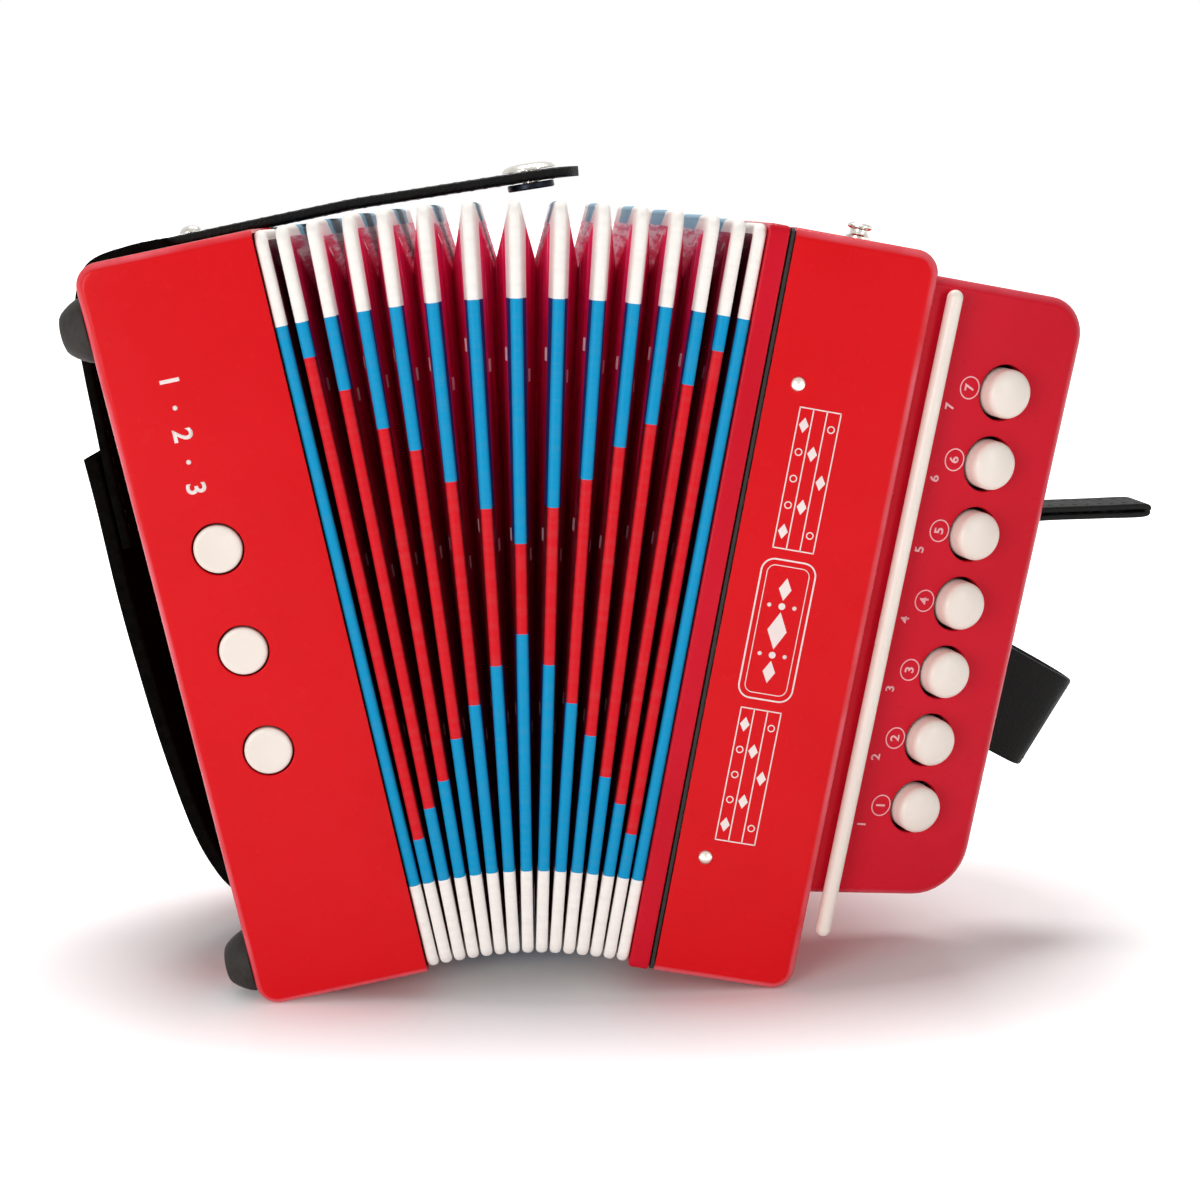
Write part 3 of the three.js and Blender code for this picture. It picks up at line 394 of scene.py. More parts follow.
def tape_and_paper():
    """Card folds: coated tape in white, blue and red along each edge, glossy wine-red paper in the valleys.

    place_mm is (across the fold, depth in from its edge, height up the fold, running on over the top)."""
    look = Look("taped_card_and_paper", "place_mm", Specular_IOR_Level=0.12)
    depth, height = look.place.axis(1), look.place.axis(2)
    jitter = look.noise(1.2, 2.0).spread(0.0, 1.0, -0.12, 0.12)
    share_down = (height + jitter).spread(0.0, HEIGHT, 1.0, 0.0, clamp=False)
    # Painted shade: each tape darkens with depth in from the fold's edge, where its rounded nose turns away
    # from the light: white to grey-pink, blue to navy, red to maroon.
    white = depth.spread(0.8, 3.6).mix("FCF7F1", "E9D2D2")
    blue = depth.spread(0.7, 1.9).mix("0496CA", "0A2466")
    red = depth.spread(0.35, 1.1).mix("D81322", "5A0610")
    tape = "86AFC6"
    for start, colour in (
        (-TOP_WHITE_RUN / HEIGHT, white),
        (WHITE_END, blue),
        (look.attribute("blue_end"), red),
        (look.attribute("red_end"), blue),
        (LOW_WHITE_START, white),
        (1 + TOP_WHITE_RUN / HEIGHT, blue),
    ):
        tape = (share_down > start).mix(tape, colour)
    mottle = look.noise(0.7, 4.0)
    tape = mottle.spread(0.45, 0.85, 0.0, 0.12).mix(tape, "8C8A88")

    # Painted light and shade: the paper is near black at the bottom and grows paler up to pale pink at the
    # top, where light falls into the valleys, in streaks along the height.
    streaks = look.noise(1.0, stretch=(1.0, 0.6, 0.035))
    glow = height / HEIGHT + streaks.spread(0.25, 0.75, -0.26, 0.26)
    paper = glow.spread(-0.1, 1.2).ramp(
        (0.0, "5A0A12"), (0.3, "7C0C18"), (0.46, "9C0E20"), (0.6, "C01032"),
        (0.74, "DC144C"), (0.86, "E62C62"), (0.93, "EE7896"), (0.98, "F4C6D0"),
    )
    wisps = look.noise(1.0, 3.0, 0.6, stretch=(1.3, 0.9, 0.09))
    paper = wisps.spread(0.5, 0.68, 0.0, 0.75).mix(paper, "B0185E")
    specks = look.noise(2.6, 1.0) > 0.79
    paper = (specks * 0.5).mix(paper, "C87890")
    gleam = look.attribute("gleam", "Vector")
    row = ((height + gleam.axis(0)) / GLEAM_PITCH).math("FRACT")
    gleams = (abs(row - 0.5) < GLEAM_HALF_SHARE) * (abs(depth - gleam.axis(1)) < GLEAM_HALF_DEPTH)
    paper = (gleams * 0.85).mix(paper, "FBE6EC")
    # Painted shade: the outer valleys are darkened towards near black.
    paper = look.attribute("paper_light").mix("1E0206", paper)

    on_tape = depth < look.attribute("tape_reach")
    matt = on_tape | gleams | glow.spread(0.6, 0.85)
    look.feed(
        Base_Color=on_tape.mix(paper, tape),
        Metallic=(1.0 - matt) * 0.5,
        Roughness=on_tape * 0.12 + mottle.spread(0.3, 0.7, 0.3, 0.4),
    )
    look.bump(look.noise(2.2, 4.0) * 0.12 + streaks * 1.2, 0.1, 0.4)
    return look.material


# The pale pink edge colours below are partly painted highlights along rounded edges, partly wear.
red_plastic = moulded_plastic(
    "glossy_red_plastic", "DA141C", "D61219", roughness=0.22, coat=0.02, worn_and_highlight="F58A98"
)
board_plastic = moulded_plastic(
    "satin_red_plastic", "CE152B", "C81226", roughness=0.3, coat=0.02, worn_and_highlight="E0606E"
)
white_plastic = moulded_plastic(
    "ivory_white_plastic", "F0E6DC", "EBDFD4", roughness=0.3, coat=0.05, specular=0.3
)
lever_plastic = moulded_plastic("black_lever_plastic", "26262A", "1B1B1F", roughness=0.45)
white_ink = moulded_plastic("white_printing_ink", "F6E8E4", "F0DCDA", roughness=0.5, grain=2.0)
thin_ink = moulded_plastic("thin_white_printing_ink", "F6BEC2", "EFA6AE", roughness=0.5, grain=2.0)
black_rubber = rubber()
nickel = metal("polished_nickel", "D8D4CC", roughness=0.18)
spring_steel = metal("spring_steel", "8E8C88", roughness=0.32)
# The snap's socket is painted near black as shade, because it lies in the strap's shadow.
painted_shade_socket_metal = metal("snap_socket_painted_shade", "24262E", roughness=0.3, tarnish="101116")
pearl_pin = metal("pearly_nickel", "F0E2D8", roughness=0.26)
reed_wood = wood()
strap_leather = leather("black_strap_leather", "050504", "100F0E", specular=0.12)
hand_leather = leather("dull_black_strap_leather", "090908", "121211", specular=0.0)
stitch_thread = waxed_thread()
fold_finish = tape_and_paper()


# Mesh helpers
def new_object(name, data):
    """An object in the scene."""
    obj = bpy.data.objects.new(name, data)
    bpy.context.scene.collection.objects.link(obj)
    return obj


def bake(name, bm, place, materials, body, replaces=(), slot=None, sharp=35, solid=0.0, blend=None):
    """Makes a finished object from a mesh drawn in millimetres, keeping its own coordinates as place_mm."""
    mesh = bpy.data.meshes.new(name)
    bm.normal_update()
    bm.to_mesh(mesh)
    bm.free()
    if "place_mm" not in mesh.attributes:
        stored = mesh.attributes.new("place_mm", "FLOAT_VECTOR", "POINT")
        stored.data.foreach_set("vector", [c for v in mesh.vertices for c in v.co])
    mesh.transform(TO_METRES @ place)
    for material in materials if isinstance(materials, list) else [materials]:
        mesh.materials.append(material)
    obj = new_object(name, mesh)
    mesh.shade_smooth()
    mesh.set_sharp_from_angle(angle=math.radians(sharp))
    if solid:
        thicken = obj.modifiers.new("wall", "SOLIDIFY")
        thicken.thickness = solid * MM
        thicken.offset = -1
        thicken.use_even_offset = True
    weighted = obj.modifiers.new("normals", "WEIGHTED_NORMAL")
    weighted.keep_sharp = True
    if blend:
        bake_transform(obj)
    else:
        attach(obj, body)
    if replaces:
        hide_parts(*replaces)


def ring_edges(bm, ring, closed=True):
    pairs = zip(ring, ring[1:] + ring[:1]) if closed else zip(ring, ring[1:])
    return [bm.edges.get(p) or bm.edges.new(p) for p in pairs]


def cap(bm, ring):
    """Closes a ring of corners with one face."""
    return bmesh.ops.contextual_create(bm, geom=ring_edges(bm, ring))["faces"][0]


def first_ring(bm, points, closed=True):
    """A surface's first outline: its corners joined by edges."""
    ring = [bm.verts.new(p) for p in points]
    ring_edges(bm, ring, closed)
    return ring


def next_ring(bm, ring, points, closed=True):
    """Extrudes an outline and sets its copy to new points, or makes the first one."""
    if not ring:
        return first_ring(bm, points, closed)
    made = bmesh.ops.extrude_edge_only(bm, edges=ring_edges(bm, ring, closed))["geom"]
    copies = {tuple(v.co): v for v in made if isinstance(v, bmesh.types.BMVert)}
    out = [copies[tuple(v.co)] for v in ring]
    for v, p in zip(out, points):
        v.co = p
    return out


def loft(bm, outlines, closed=True):
    """Extrudes the first outline through all the others; returns the rings of corners."""
    rings = [None]
    for points in outlines:
        rings.append(next_ring(bm, rings[-1], points, closed))
    return rings[1:]


def face_out(bm, toward=None):
    """Turns the faces outwards. On an open shell, toward is the way that its outermost face has to look."""
    bmesh.ops.recalc_face_normals(bm, faces=bm.faces[:])
    if toward:
        outermost = max(bm.faces, key=lambda f: f.calc_center_median().dot(toward))
        if outermost.normal.dot(toward) < 0:
            bmesh.ops.reverse_faces(bm, faces=bm.faces[:])


def round_off(bm, geom, offset, segments, affect="EDGES"):
    bmesh.ops.bevel(bm, geom=geom, offset=offset, segments=segments, profile=0.5, affect=affect, material=-1)


def arc(cx, cz, radius, start, end, steps):
    """Points on an arc, angles in degrees."""
    out = []
    for i in range(steps + 1):
        angle = math.radians(start + (end - start) * i / steps)
        out.append((cx + radius * math.cos(angle), cz + radius * math.sin(angle)))
    return out


def circle(cx, cz, radius, steps):
    turns = [2 * math.pi * i / steps for i in range(steps)]
    return [(cx + radius * math.cos(t), cz + radius * math.sin(t)) for t in turns]


def rounded_box(x0, z0, x1, z1, corner, steps):
    """Points round a rectangle with rounded corners."""
    right, left, high, low = x1 - corner, x0 + corner, z1 - corner, z0 + corner
    out = []
    for start, (x, z) in zip((0, 90, 180, 270), ((right, high), (left, high), (left, low), (right, low))):
        out += arc(x, z, corner, start, start + 90, steps)
    return out


def turned(profile, steps=48, axis=(0, 0, 1), at=(0, 0, 0)):
    """A turned piece: profile of (radius, height along the axis), spun and closed at its ends."""
    bm = bmesh.new()
    first_ring(bm, [(radius, 0, height) for radius, height in profile], closed=False)
    geom = bm.verts[:] + bm.edges[:]
    spin = {"cent": (0, 0, 0), "axis": (0, 0, 1), "angle": math.tau, "steps": steps}
    bmesh.ops.spin(bm, geom=geom, use_merge=True, use_duplicate=False, **spin)
    bmesh.ops.remove_doubles(bm, verts=bm.verts[:], dist=0.0005)
    face_out(bm)
    turn = Vector(axis).to_track_quat("Z", "Y").to_matrix().to_4x4()
    bmesh.ops.transform(bm, matrix=shift(*at) @ turn, verts=bm.verts[:])
    return bm


def rounded_profile(points, radius, steps):
    """Rounds the inner corners of an open profile, leaving its first and last point."""
    out = [points[0]]
    for i in range(1, len(points) - 1):
        p, a, b = Vector(points[i]), Vector(points[i - 1]), Vector(points[i + 1])
        r = min(radius, (a - p).length * 0.45, (b - p).length * 0.45)
        start, end = p + (a - p).normalized() * r, p + (b - p).normalized() * r
        for k in range(steps + 1):
            t = k / steps
            out.append(tuple(start * (1 - t) ** 2 + p * 2 * t * (1 - t) + end * t * t))
    out.append(points[-1])
    return out


def spline(points, steps):
    """Points along a smooth curve through the given ones, like the solid straps'."""
    count = len(points)
    nearest = lambda k: points[min(max(k, 0), count - 1)]
    out = []
    for step in range(steps + 1):
        p = (count - 1) * step / steps
        i = min(int(p), count - 1)
        w = p - i
        chosen = [nearest(k) for k in range(i - 1, i + 3)]
        coords = []
        for axis in range(2):
            a, b, c, d = (q[axis] for q in chosen)
            v0, v1 = (c - a) / 2, (d - b) / 2
            cubic, square = 2 * b - 2 * c + v0 + v1, -3 * b + 3 * c - 2 * v0 - v1
            coords.append(cubic * w**3 + square * w**2 + v0 * w + b)
        out.append(tuple(coords))
    return out


def upright(a, b, w):
    """A strap drawn in the plane of the casing's front, with its width along the depth."""
    return Vector((a, w, b))


def strap(line, width, thickness, lift=upright, widths=None, pad=None):
    """A strap lofted along a flat line; lift(a, b, w) places the line's point (a, b) at w across the strap.

    place_mm holds the length along, the place across and the height off the middle. Both edges are stitched.
    pad thickens the inner face, point by point."""
    bm = bmesh.new()
    stored = bm.verts.layers.float_vector.new("place_mm")
    points = [Vector(p) for p in line]
    widths = widths or [width] * len(points)
    along = [0.0]
    for a, b in zip(points, points[1:]):
        along.append(along[-1] + (b - a).length)
    thin = thickness / 2
    ring = None
    ways = []
    for i, p in enumerate(points):
        t = (points[min(i + 1, len(points) - 1)] - points[max(i - 1, 0)]).normalized()
        side = Vector((-t.y, t.x))
        ways.append((t, side))
        half = widths[i] / 2
        section = rounded_box(-half, -thin, half, thin, thin * 0.72, 3)
        if pad:
            section = [(across, off if off > 0 else off - pad[i]) for across, off in section]
        ring = next_ring(bm, ring, [lift(*(p + side * off), across) for across, off in section])
        for v, (across, off) in zip(ring, section):
            v[stored] = (along[i], across, off)
        if i in (0, len(points) - 1):
            cap(bm, ring)
    add_stitches(bm, stored, points, along, ways, widths, thin, lift)
    face_out(bm)
    return bm


def add_stitches(bm, stored, points, along, ways, widths, thin, lift):
    """Rows of short thread stitches along a strap's edges, on both faces."""
    half_long, half_high, half_wide, sunk = 1.15, 0.22, 0.3, 0.1
    for n in range(int((along[-1] - STITCH_MARGIN) / STITCH_PITCH)):
        reach = STITCH_START + n * STITCH_PITCH
        i = max(j for j, a in enumerate(along) if a <= reach)
        j = min(i + 1, len(points) - 1)
        p = points[i].lerp(points[j], (reach - along[i]) / max(along[j] - along[i], 1e-6))
        t, side = ways[i]
        edge = min(widths[i], widths[j]) / 2 - STITCH_INSET
        if edge < STITCH_INSET:
            continue
        axes = (lift(*(t * half_long), 0), lift(*(side * half_high), 0), lift(0, 0, half_wide))
        shape = Matrix([list(axis) for axis in axes]).transposed().to_4x4()
        for across, face in ((-edge, -1), (-edge, 1), (edge, -1), (edge, 1)):
            place = shift(*lift(*(p + side * (face * (thin - sunk))), across)) @ shape
            made = bmesh.ops.create_uvsphere(bm, u_segments=6, v_segments=5, radius=1, matrix=place)["verts"]
            for v in made:
                v[stored] = (reach, across, face)
                for piece in v.link_faces:
                    piece.material_index = 1


# Camera at the photograph's viewing angle
def make_camera():
    data = bpy.data.cameras.new("camera")
    camera = new_object("camera", data)
    yaw, pitch, roll = CAMERA_YAW, CAMERA_PITCH, CAMERA_ROLL
    ahead = Vector((math.sin(yaw) * math.cos(pitch), math.cos(yaw) * math.cos(pitch), -math.sin(pitch)))
    level = Vector((math.cos(yaw), -math.sin(yaw), 0))
    above = level.cross(ahead)
    right = level * math.cos(roll) + above * math.sin(roll)
    up = above * math.cos(roll) - level * math.sin(roll)
    rotation = Matrix((right, up, -ahead)).transposed().to_4x4()
    camera.matrix_world = Matrix.Translation(Vector(CAMERA_PLACE) * MM) @ rotation
    data.sensor_width = SENSOR
    data.lens = SENSOR * FOCAL_PIXELS / PHOTO_PIXELS
    data.clip_start, data.clip_end = 0.02, 20
    bpy.context.scene.camera = camera


# Casings
def hole_collar(bm, centre, radius, lift, depth):
    """The softened edge and the collar of a round hole; returns the edges of its rim in the face."""
    stations = [(0.3, 0), (0.15, 0.04), (0.04, 0.15), (0, 0.3), (0, depth)]
    rims = [(circle(*centre, radius + extra, 48), sunk) for extra, sunk in stations]
    rings = loft(bm, [[lift(x, z, sunk) for x, z in rim] for rim, sunk in rims])
    return ring_edges(bm, rings[0])


def fill_with_holes(bm, edges, normal):
    """Fills a flat outline, leaving the holes whose rims are among the edges."""
    bmesh.ops.triangle_fill(bm, use_beauty=True, use_dissolve=False, edges=edges, normal=normal)


def casing(width, rounding, mirrored, front_holes):
    """An open box with a rounded outer end and softened front and back edges."""
    bm = bmesh.new()
    cap(bm, first_ring(bm, [(0, FRONT, 0), (width, FRONT, 0), (width, FRONT, HEIGHT), (0, FRONT, HEIGHT)]))
    round_off(bm, [v for v in bm.verts if v.co.x > width / 2], CASING_CORNER, 12, "VERTICES")
    moved = bmesh.ops.extrude_face_region(bm, geom=bm.faces[:])["geom"]
    bmesh.ops.translate(bm, vec=(0, DEPTH, 0), verts=[v for v in moved if isinstance(v, bmesh.types.BMVert)])
    open_side = [f for f in bm.faces if all(v.co.x < TOUCH for v in f.verts)]
    bmesh.ops.delete(bm, geom=open_side, context="FACES")

    def on_rim(edge):
        a, b = (v.co for v in edge.verts)
        return abs(abs(a.y) - DEPTH / 2) < TOUCH and abs(a.y - b.y) < TOUCH and max(a.x, b.x) > TOUCH

    round_off(bm, [e for e in bm.edges if on_rim(e)], rounding, 7)
    # Paler edge colour, strongest in the middle of each rounding: partly wear, partly a painted highlight.
    wear_and_highlight = bm.verts.layers.float.new("edge_wear_and_highlight")
    for v in bm.verts:
        climb = (abs(v.co.y) - DEPTH / 2 + rounding) / rounding
        v[wear_and_highlight] = math.sin(2 * math.asin(min(max(climb, 0), 1)))
    if front_holes:
        front = [f for f in bm.faces if all(abs(v.co.y - FRONT) < TOUCH for v in f.verts)]
        edges = list({e for f in front for e in f.edges})
        bmesh.ops.delete(bm, geom=front, context="FACES_ONLY")
        on_front = lambda x, z, sunk: (x, FRONT + sunk, z)
        for centre, radius in front_holes:
            edges += hole_collar(bm, centre, radius, on_front, CASING_COLLAR_DEPTH)
        fill_with_holes(bm, edges, (0, -1, 0))
    if mirrored:
        bmesh.ops.scale(bm, vec=(-1, 1, 1), verts=bm.verts[:])
        bmesh.ops.translate(bm, vec=(width, 0, 0), verts=bm.verts[:])
    face_out(bm, Vector((0, -1, 0)))
    return bm


def bass_casing():
    """The casing at the hand strap, with the holes of its three buttons."""
    radius = BASS_BUTTON / 2 + BASS_HOLE_CLEARANCE
    holes = [((BASS_WIDTH - BASS_BUTTON_INSET, z), radius) for z in BASS_BUTTON_HEIGHTS]
    bm = casing(BASS_WIDTH, BASS_EDGE_ROUNDING, True, holes)
    bake("bass_casing", bm, BASS, red_plastic, "bass_end", ["bass_housing"], "red_casing", solid=WALL)


def treble_casing():
    """The plain casing that carries the fingerboard."""
    bm = casing(TREBLE_WIDTH, TREBLE_EDGE_ROUNDING, False, [])
    bake("treble_casing", bm, TREBLE, red_plastic, "treble_end", ["treble_housing"], "red_casing", solid=WALL)


def flat_frame(node, x1, material, slot, thickness, band, trim, edge):
    """A flat ring between the bellows and the casing, with softened outer edges."""
    x0 = x1 - thickness
    stations = [(trim + edge, x0), (trim + edge * 0.3, x0 + edge * 0.3), (trim, x0 + edge)]
    stations += [(trim, x1 - edge), (trim + edge * 0.3, x1 - edge * 0.3), (trim + edge, x1)]
    stations += [(trim + band, x1), (trim + band, x0), (trim + edge, x0)]
    outlines = []
    for inset, x in stations:
        half = DEPTH / 2 - inset
        corner = max(2.0 - (inset - trim), 0.8)
        outlines.append([(x, y, z) for y, z in rounded_box(-half, inset, half, HEIGHT - inset, corner, 5)])
    bm = bmesh.new()
    loft(bm, outlines)
    bmesh.ops.remove_doubles(bm, verts=bm.verts[:], dist=0.001)
    face_out(bm)
    bake("card_" + node, bm, TREBLE, material, "treble_end", [node], slot)


def frames():
    """The card frame at the end of the bellows and the gasket that seals it to the treble casing."""
    gasket = (black_rubber, "black_rubber", GASKET_THICKNESS, GASKET_BAND)
    flat_frame("frame_gasket", -GAP, *gasket, trim=0.3, edge=0.12)
    card = (board_plastic, "red_casing", FRAME_THICKNESS, FRAME_BAND)
    flat_frame("bellows_frame", -2 * GAP - GASKET_THICKNESS, *card, trim=0.0, edge=0.7)


# Bellows: card folds with taped edges and glossy paper valleys
def fold_loop(inset):
    """Points (y, z) round a fold at an inset."""
    half = DEPTH / 2 - FOLD_INSET - inset
    low, high = FOLD_INSET + inset, HEIGHT - FOLD_INSET - inset
    r = max(FOLD_CORNER - inset, 1.1)
    side_steps, end_steps = 40, 22
    out = []
    for cy, cz, start, a, b, count in (
        (half - r, high - r, 0, (half, low + r), (half, high - r), side_steps),
        (r - half, high - r, 90, (half - r, high), (r - half, high), end_steps),
        (r - half, low + r, 180, (-half, high - r), (-half, low + r), side_steps),
        (half - r, low + r, 270, (r - half, low), (half - r, low), end_steps),
    ):
        for i in range(1, count):
            t = i / count
            out.append((a[0] + (b[0] - a[0]) * t, a[1] + (b[1] - a[1]) * t))
        out += arc(cy, cz, r, start, start + 90, 4)
    return out


def run_height(y, z, inset):
    """Height up the fold, running on over its top and under its bottom towards the middle of the depth."""
    beyond = max(DEPTH / 2 - FOLD_INSET - inset - abs(y), 0)
    if z > HEIGHT - FOLD_INSET - inset - 0.5:
        return HEIGHT + beyond
    if z < FOLD_INSET + inset + 0.5:
        return -beyond
    return z


def fold_mesh():
    """A new mesh with the values that the folds' finish reads."""
    bm = bmesh.new()
    single, triple = ("blue_end", "red_end", "tape_reach", "paper_light"), ("place_mm", "gleam")
    layers = {name: bm.verts.layers.float.new(name) for name in single}
    layers.update({name: bm.verts.layers.float_vector.new(name) for name in triple})
    return bm, layers


def fold_ring(bm, layers, k, inset, off_at, mirror, ease=0.0, before=None):
    """One ring of fold k at an inset; off_at(height) is how far it stands from the fold's middle plane."""
    steps_out = min(abs(k - 8), 7)
    loop = fold_loop(inset)
    corners = [FOLDS[k - 1] @ Vector((FOLD_PITCH / 2 + mirror * off_at(z), y, z)) for y, z in loop]
    ring = next_ring(bm, before, corners)
    gleam_offset, gleam_depth = GLEAM_PLACES[mirror]
    for v, (y, z) in zip(ring, loop):
        v[layers["blue_end"]] = TAPE_BLUE_ENDS[steps_out]
        v[layers["red_end"]] = TAPE_RED_ENDS[steps_out]
        v[layers["tape_reach"]] = TAPE_REACH[k - 1]
        v[layers["paper_light"]] = VALLEY_LIGHT[min(abs(k + mirror * 0.5 - 8), 7.5)]
        v[layers["gleam"]] = (2 * math.sin(2.4 * k) + gleam_offset, gleam_depth, 0)
        v[layers["place_mm"]] = (8 * k + 4 * mirror * ease, inset, run_height(y, z, inset))
    return ring


def flank(bm, layers, k, mirror, reach):
    """One side of fold k from beside its nose down to the valley; reach(height) is the half spacing there."""
    near = FOLD_HALF - NOSE_PROUD
    ring = None
    for inset in (FLANK_INSET, 1.6, 2.4, 3.4, 4.6, 6.0, 7.8, 9.8, 11.8, 13.5, 14.5, VALLEY_INSET):
        ease = ((inset - FLANK_INSET) / (VALLEY_INSET - FLANK_INSET)) ** 1.08
        off_at = lambda z, ease=ease: near + (reach(z) - near) * ease
        ring = fold_ring(bm, layers, k, inset, off_at, mirror, ease, ring)


def bake_fold(name, bm, body, nodes=(), slot="pleat_paper", sharp=50, blend=None):
    face_out(bm)
    bake(name, bm, Matrix.Identity(4), fold_finish, body, nodes, slot, sharp, blend=blend)


def bellows_valley(k):
    """The paper between folds k and k+1: two flanks that meet in the valley's crease."""
    bm, layers = fold_mesh()
    angle = FAN_ANGLE * FAN_SHARES[k - 1]
    reach = lambda z: FOLD_PITCH / 2 + max(z, 0) * math.tan(angle / 2)
    flank(bm, layers, k, 1, reach)
    flank(bm, layers, k + 1, -1, reach)
    bmesh.ops.remove_doubles(bm, verts=bm.verts[:], dist=0.004)
    middle = FOLDS[k] @ turn_y(-angle / 2)
    span = FOLD_PITCH + HEIGHT * angle
    centre = middle @ Vector((0, 0, HEIGHT * 0.6))
    half = (middle.to_3x3() @ Vector((1, 0, 0))).normalized() * span / 2
    blend = (fold_body(k), fold_body(k + 1), (centre - half) * MM, (centre + half) * MM)
    replaced = ["bellows_web"] if k == FOLD_COUNT // 2 else ()
    bake_fold(f"valley_paper_{k:02d}", bm, None, replaced, blend=blend)


def fold_nose(k):
    """The taped edge of fold k, a rounded nose all round it."""
    bm, layers = fold_mesh()
    root = (FOLD_HALF + NOSE_PROUD, 1.9)
    right = [(x + NOSE_PROUD, inset) for x, inset in NOSE[1:]] + [root]
    left = [(-x, inset) for x, inset in reversed(right)]
    ring = None
    for x, inset in left + NOSE[:1] + right:
        ring = fold_ring(bm, layers, k, inset - NOSE_PROUD, lambda z, x=x: x, 1, 0, ring)
    bake_fold(f"fold_edge_{k:02d}", bm, fold_body(k), [f"bellows_fold_{k:02d}"], "fold_card", 60)


def end_flank(k, mirror):
    """The outer side of an end fold, glued to the casing or the frame."""
    bm, layers = fold_mesh()
    ring = None
    near, glued = FOLD_HALF - NOSE_PROUD, FOLD_PITCH / 2 - 0.02
    for inset, off in ((FLANK_INSET, near), (2.4, FOLD_HALF), (5.0, FOLD_HALF + 0.05), (9.0, glued)):
        ring = fold_ring(bm, layers, k, inset, lambda z, off=off: off, mirror, 0, ring)
    bake_fold(f"end_paper_{k:02d}", bm, fold_body(k))


def bellows():
    """All the folds, the paper between them and the glued sides of the two end folds."""
    for number in range(1, FOLD_COUNT):
        bellows_valley(number)
    for number in range(1, FOLD_COUNT + 1):
        fold_nose(number)
    end_flank(1, -1)
    end_flank(FOLD_COUNT, 1)


# Fingerboard
def on_board(across, z, sunk):
    """A point of the treble casing's frame, from its place across the slanted board and below its face."""
    x = BOARD_SIDE + across * BOARD_COS - sunk * BOARD_SIN
    return (x, BOARD_FRONT + across * BOARD_SIN + sunk * BOARD_COS, z)


def face_depth(x, sunk):
    """Depth of the slanted face at x, or of a layer that is sunk below it."""
    return BOARD_FRONT + (x - BOARD_SIDE) * math.tan(BOARD_ANGLE) + sunk / BOARD_COS


def board_outline(right, inset):
    """Points (x, z) along the bottom, the free side and the top of the fingerboard."""
    low, high = BOARD_CORNER_BOTTOM, BOARD_CORNER_TOP
    return (
        [(BOARD_SIDE, BOARD_BOTTOM + inset)]
        + arc(right - low, BOARD_BOTTOM + low, low - inset, -90, 0, 9)
        + arc(right - high, BOARD_TOP - high, high - inset, 0, 90, 9)
        + [(BOARD_SIDE, BOARD_TOP - inset)]
    )


def fingerboard():
    """The slanted fingerboard: a box open towards the casing, with a slanted front and seven key holes."""
    bm = bmesh.new()
    wear_and_highlight = bm.verts.layers.float.new("edge_wear_and_highlight")
    edge, rounding = BOARD_EDGE_ROUNDING, BOARD_BACK_ROUNDING
    steps = 6
    turns = [math.pi / 2 * j / steps for j in range(steps + 1)]
    outlines = []
    for angle in turns:
        inset, sunk = edge * (1 - math.sin(angle)), edge * (1 - math.cos(angle))
        outlines.append([(x, face_depth(x, sunk), z) for x, z in board_outline(BOARD_RIGHT, inset)])
    back = BOARD_BACK - rounding
    for share in (0.25, 0.5, 0.75, 1.0):
        points = [(x, face_depth(x, edge), z) for x, z in board_outline(BOARD_RIGHT - BOARD_TAPER * share, 0)]
        outlines.append([(x, y + (back - y) * share, z) for x, y, z in points])
    for angle in turns[1:]:
        y = back + rounding * math.sin(angle)
        points = board_outline(BOARD_RIGHT - BOARD_TAPER, rounding * (1 - math.cos(angle)))
        outlines.append([(x, y, z) for x, z in points])
    rings = loft(bm, outlines, closed=False)
    # Paler edge colour round the slanted face's rounding: partly wear, partly a painted highlight.
    for j in range(1, steps):
        for v in rings[j]:
            v[wear_and_highlight] = math.sin(math.pi * j / steps)
    edges = ring_edges(bm, rings[0])
    radius = KEY_CAP / 2 + KEY_HOLE_CLEARANCE
    for z in KEY_HEIGHTS:
        edges += hole_collar(bm, (KEY_ACROSS, z), radius, on_board, KEY_COLLAR_DEPTH)
    fill_with_holes(bm, edges, (BOARD_SIN, -BOARD_COS, 0))
    fill_with_holes(bm, ring_edges(bm, rings[-1]), (0, 1, 0))
    face_out(bm, Vector((0, 1, 0)))
    nodes, slot = ["fingerboard"], "fingerboard_red"
    bake("slanted_fingerboard", bm, TREBLE, board_plastic, "treble_end", nodes, slot, solid=WALL)


def trim_rod():
    """The white rod along the fingerboard's inner edge."""
    r = ROD / 2
    low, high = ROD_ENDS
    profile = [(0, low)] + arc(0, low + r, r, -80, 0, 6) + arc(0, high - r, r, 0, 80, 6) + [(0, high)]
    bm = turned(profile, 32, at=(ROD_ACROSS, -r - GAP, 0))
    bake("white_trim_rod", bm, BOARD, white_plastic, "treble_end", ["trim_rod"], "white_plastic")


# Buttons
def key_caps():
    """Seven domed caps on their stems."""
    r, sunk = KEY_CAP / 2, 2.2
    stem, foot = 3.0, 5.1
    dome = [(0, 4.6), (1.6, 4.56), (3.1, 4.36), (4.25, 4.02), (5.0, 3.6), (5.5, 3.1), (5.78, 2.5)]
    profile = dome + rounded_profile([(r, 1.9), (r, -sunk), (stem, -sunk), (stem, -foot), (0, -foot)], 0.3, 3)
    for i, z in enumerate(KEY_HEIGHTS, 1):
        bm = turned(profile, 56, axis=(0, -1, 0), at=(KEY_ACROSS, 0, z))
        bake(f"key_cap_{i}", bm, BOARD, white_plastic, f"key_{i}", [f"treble_button_{i}"], "white_plastic")


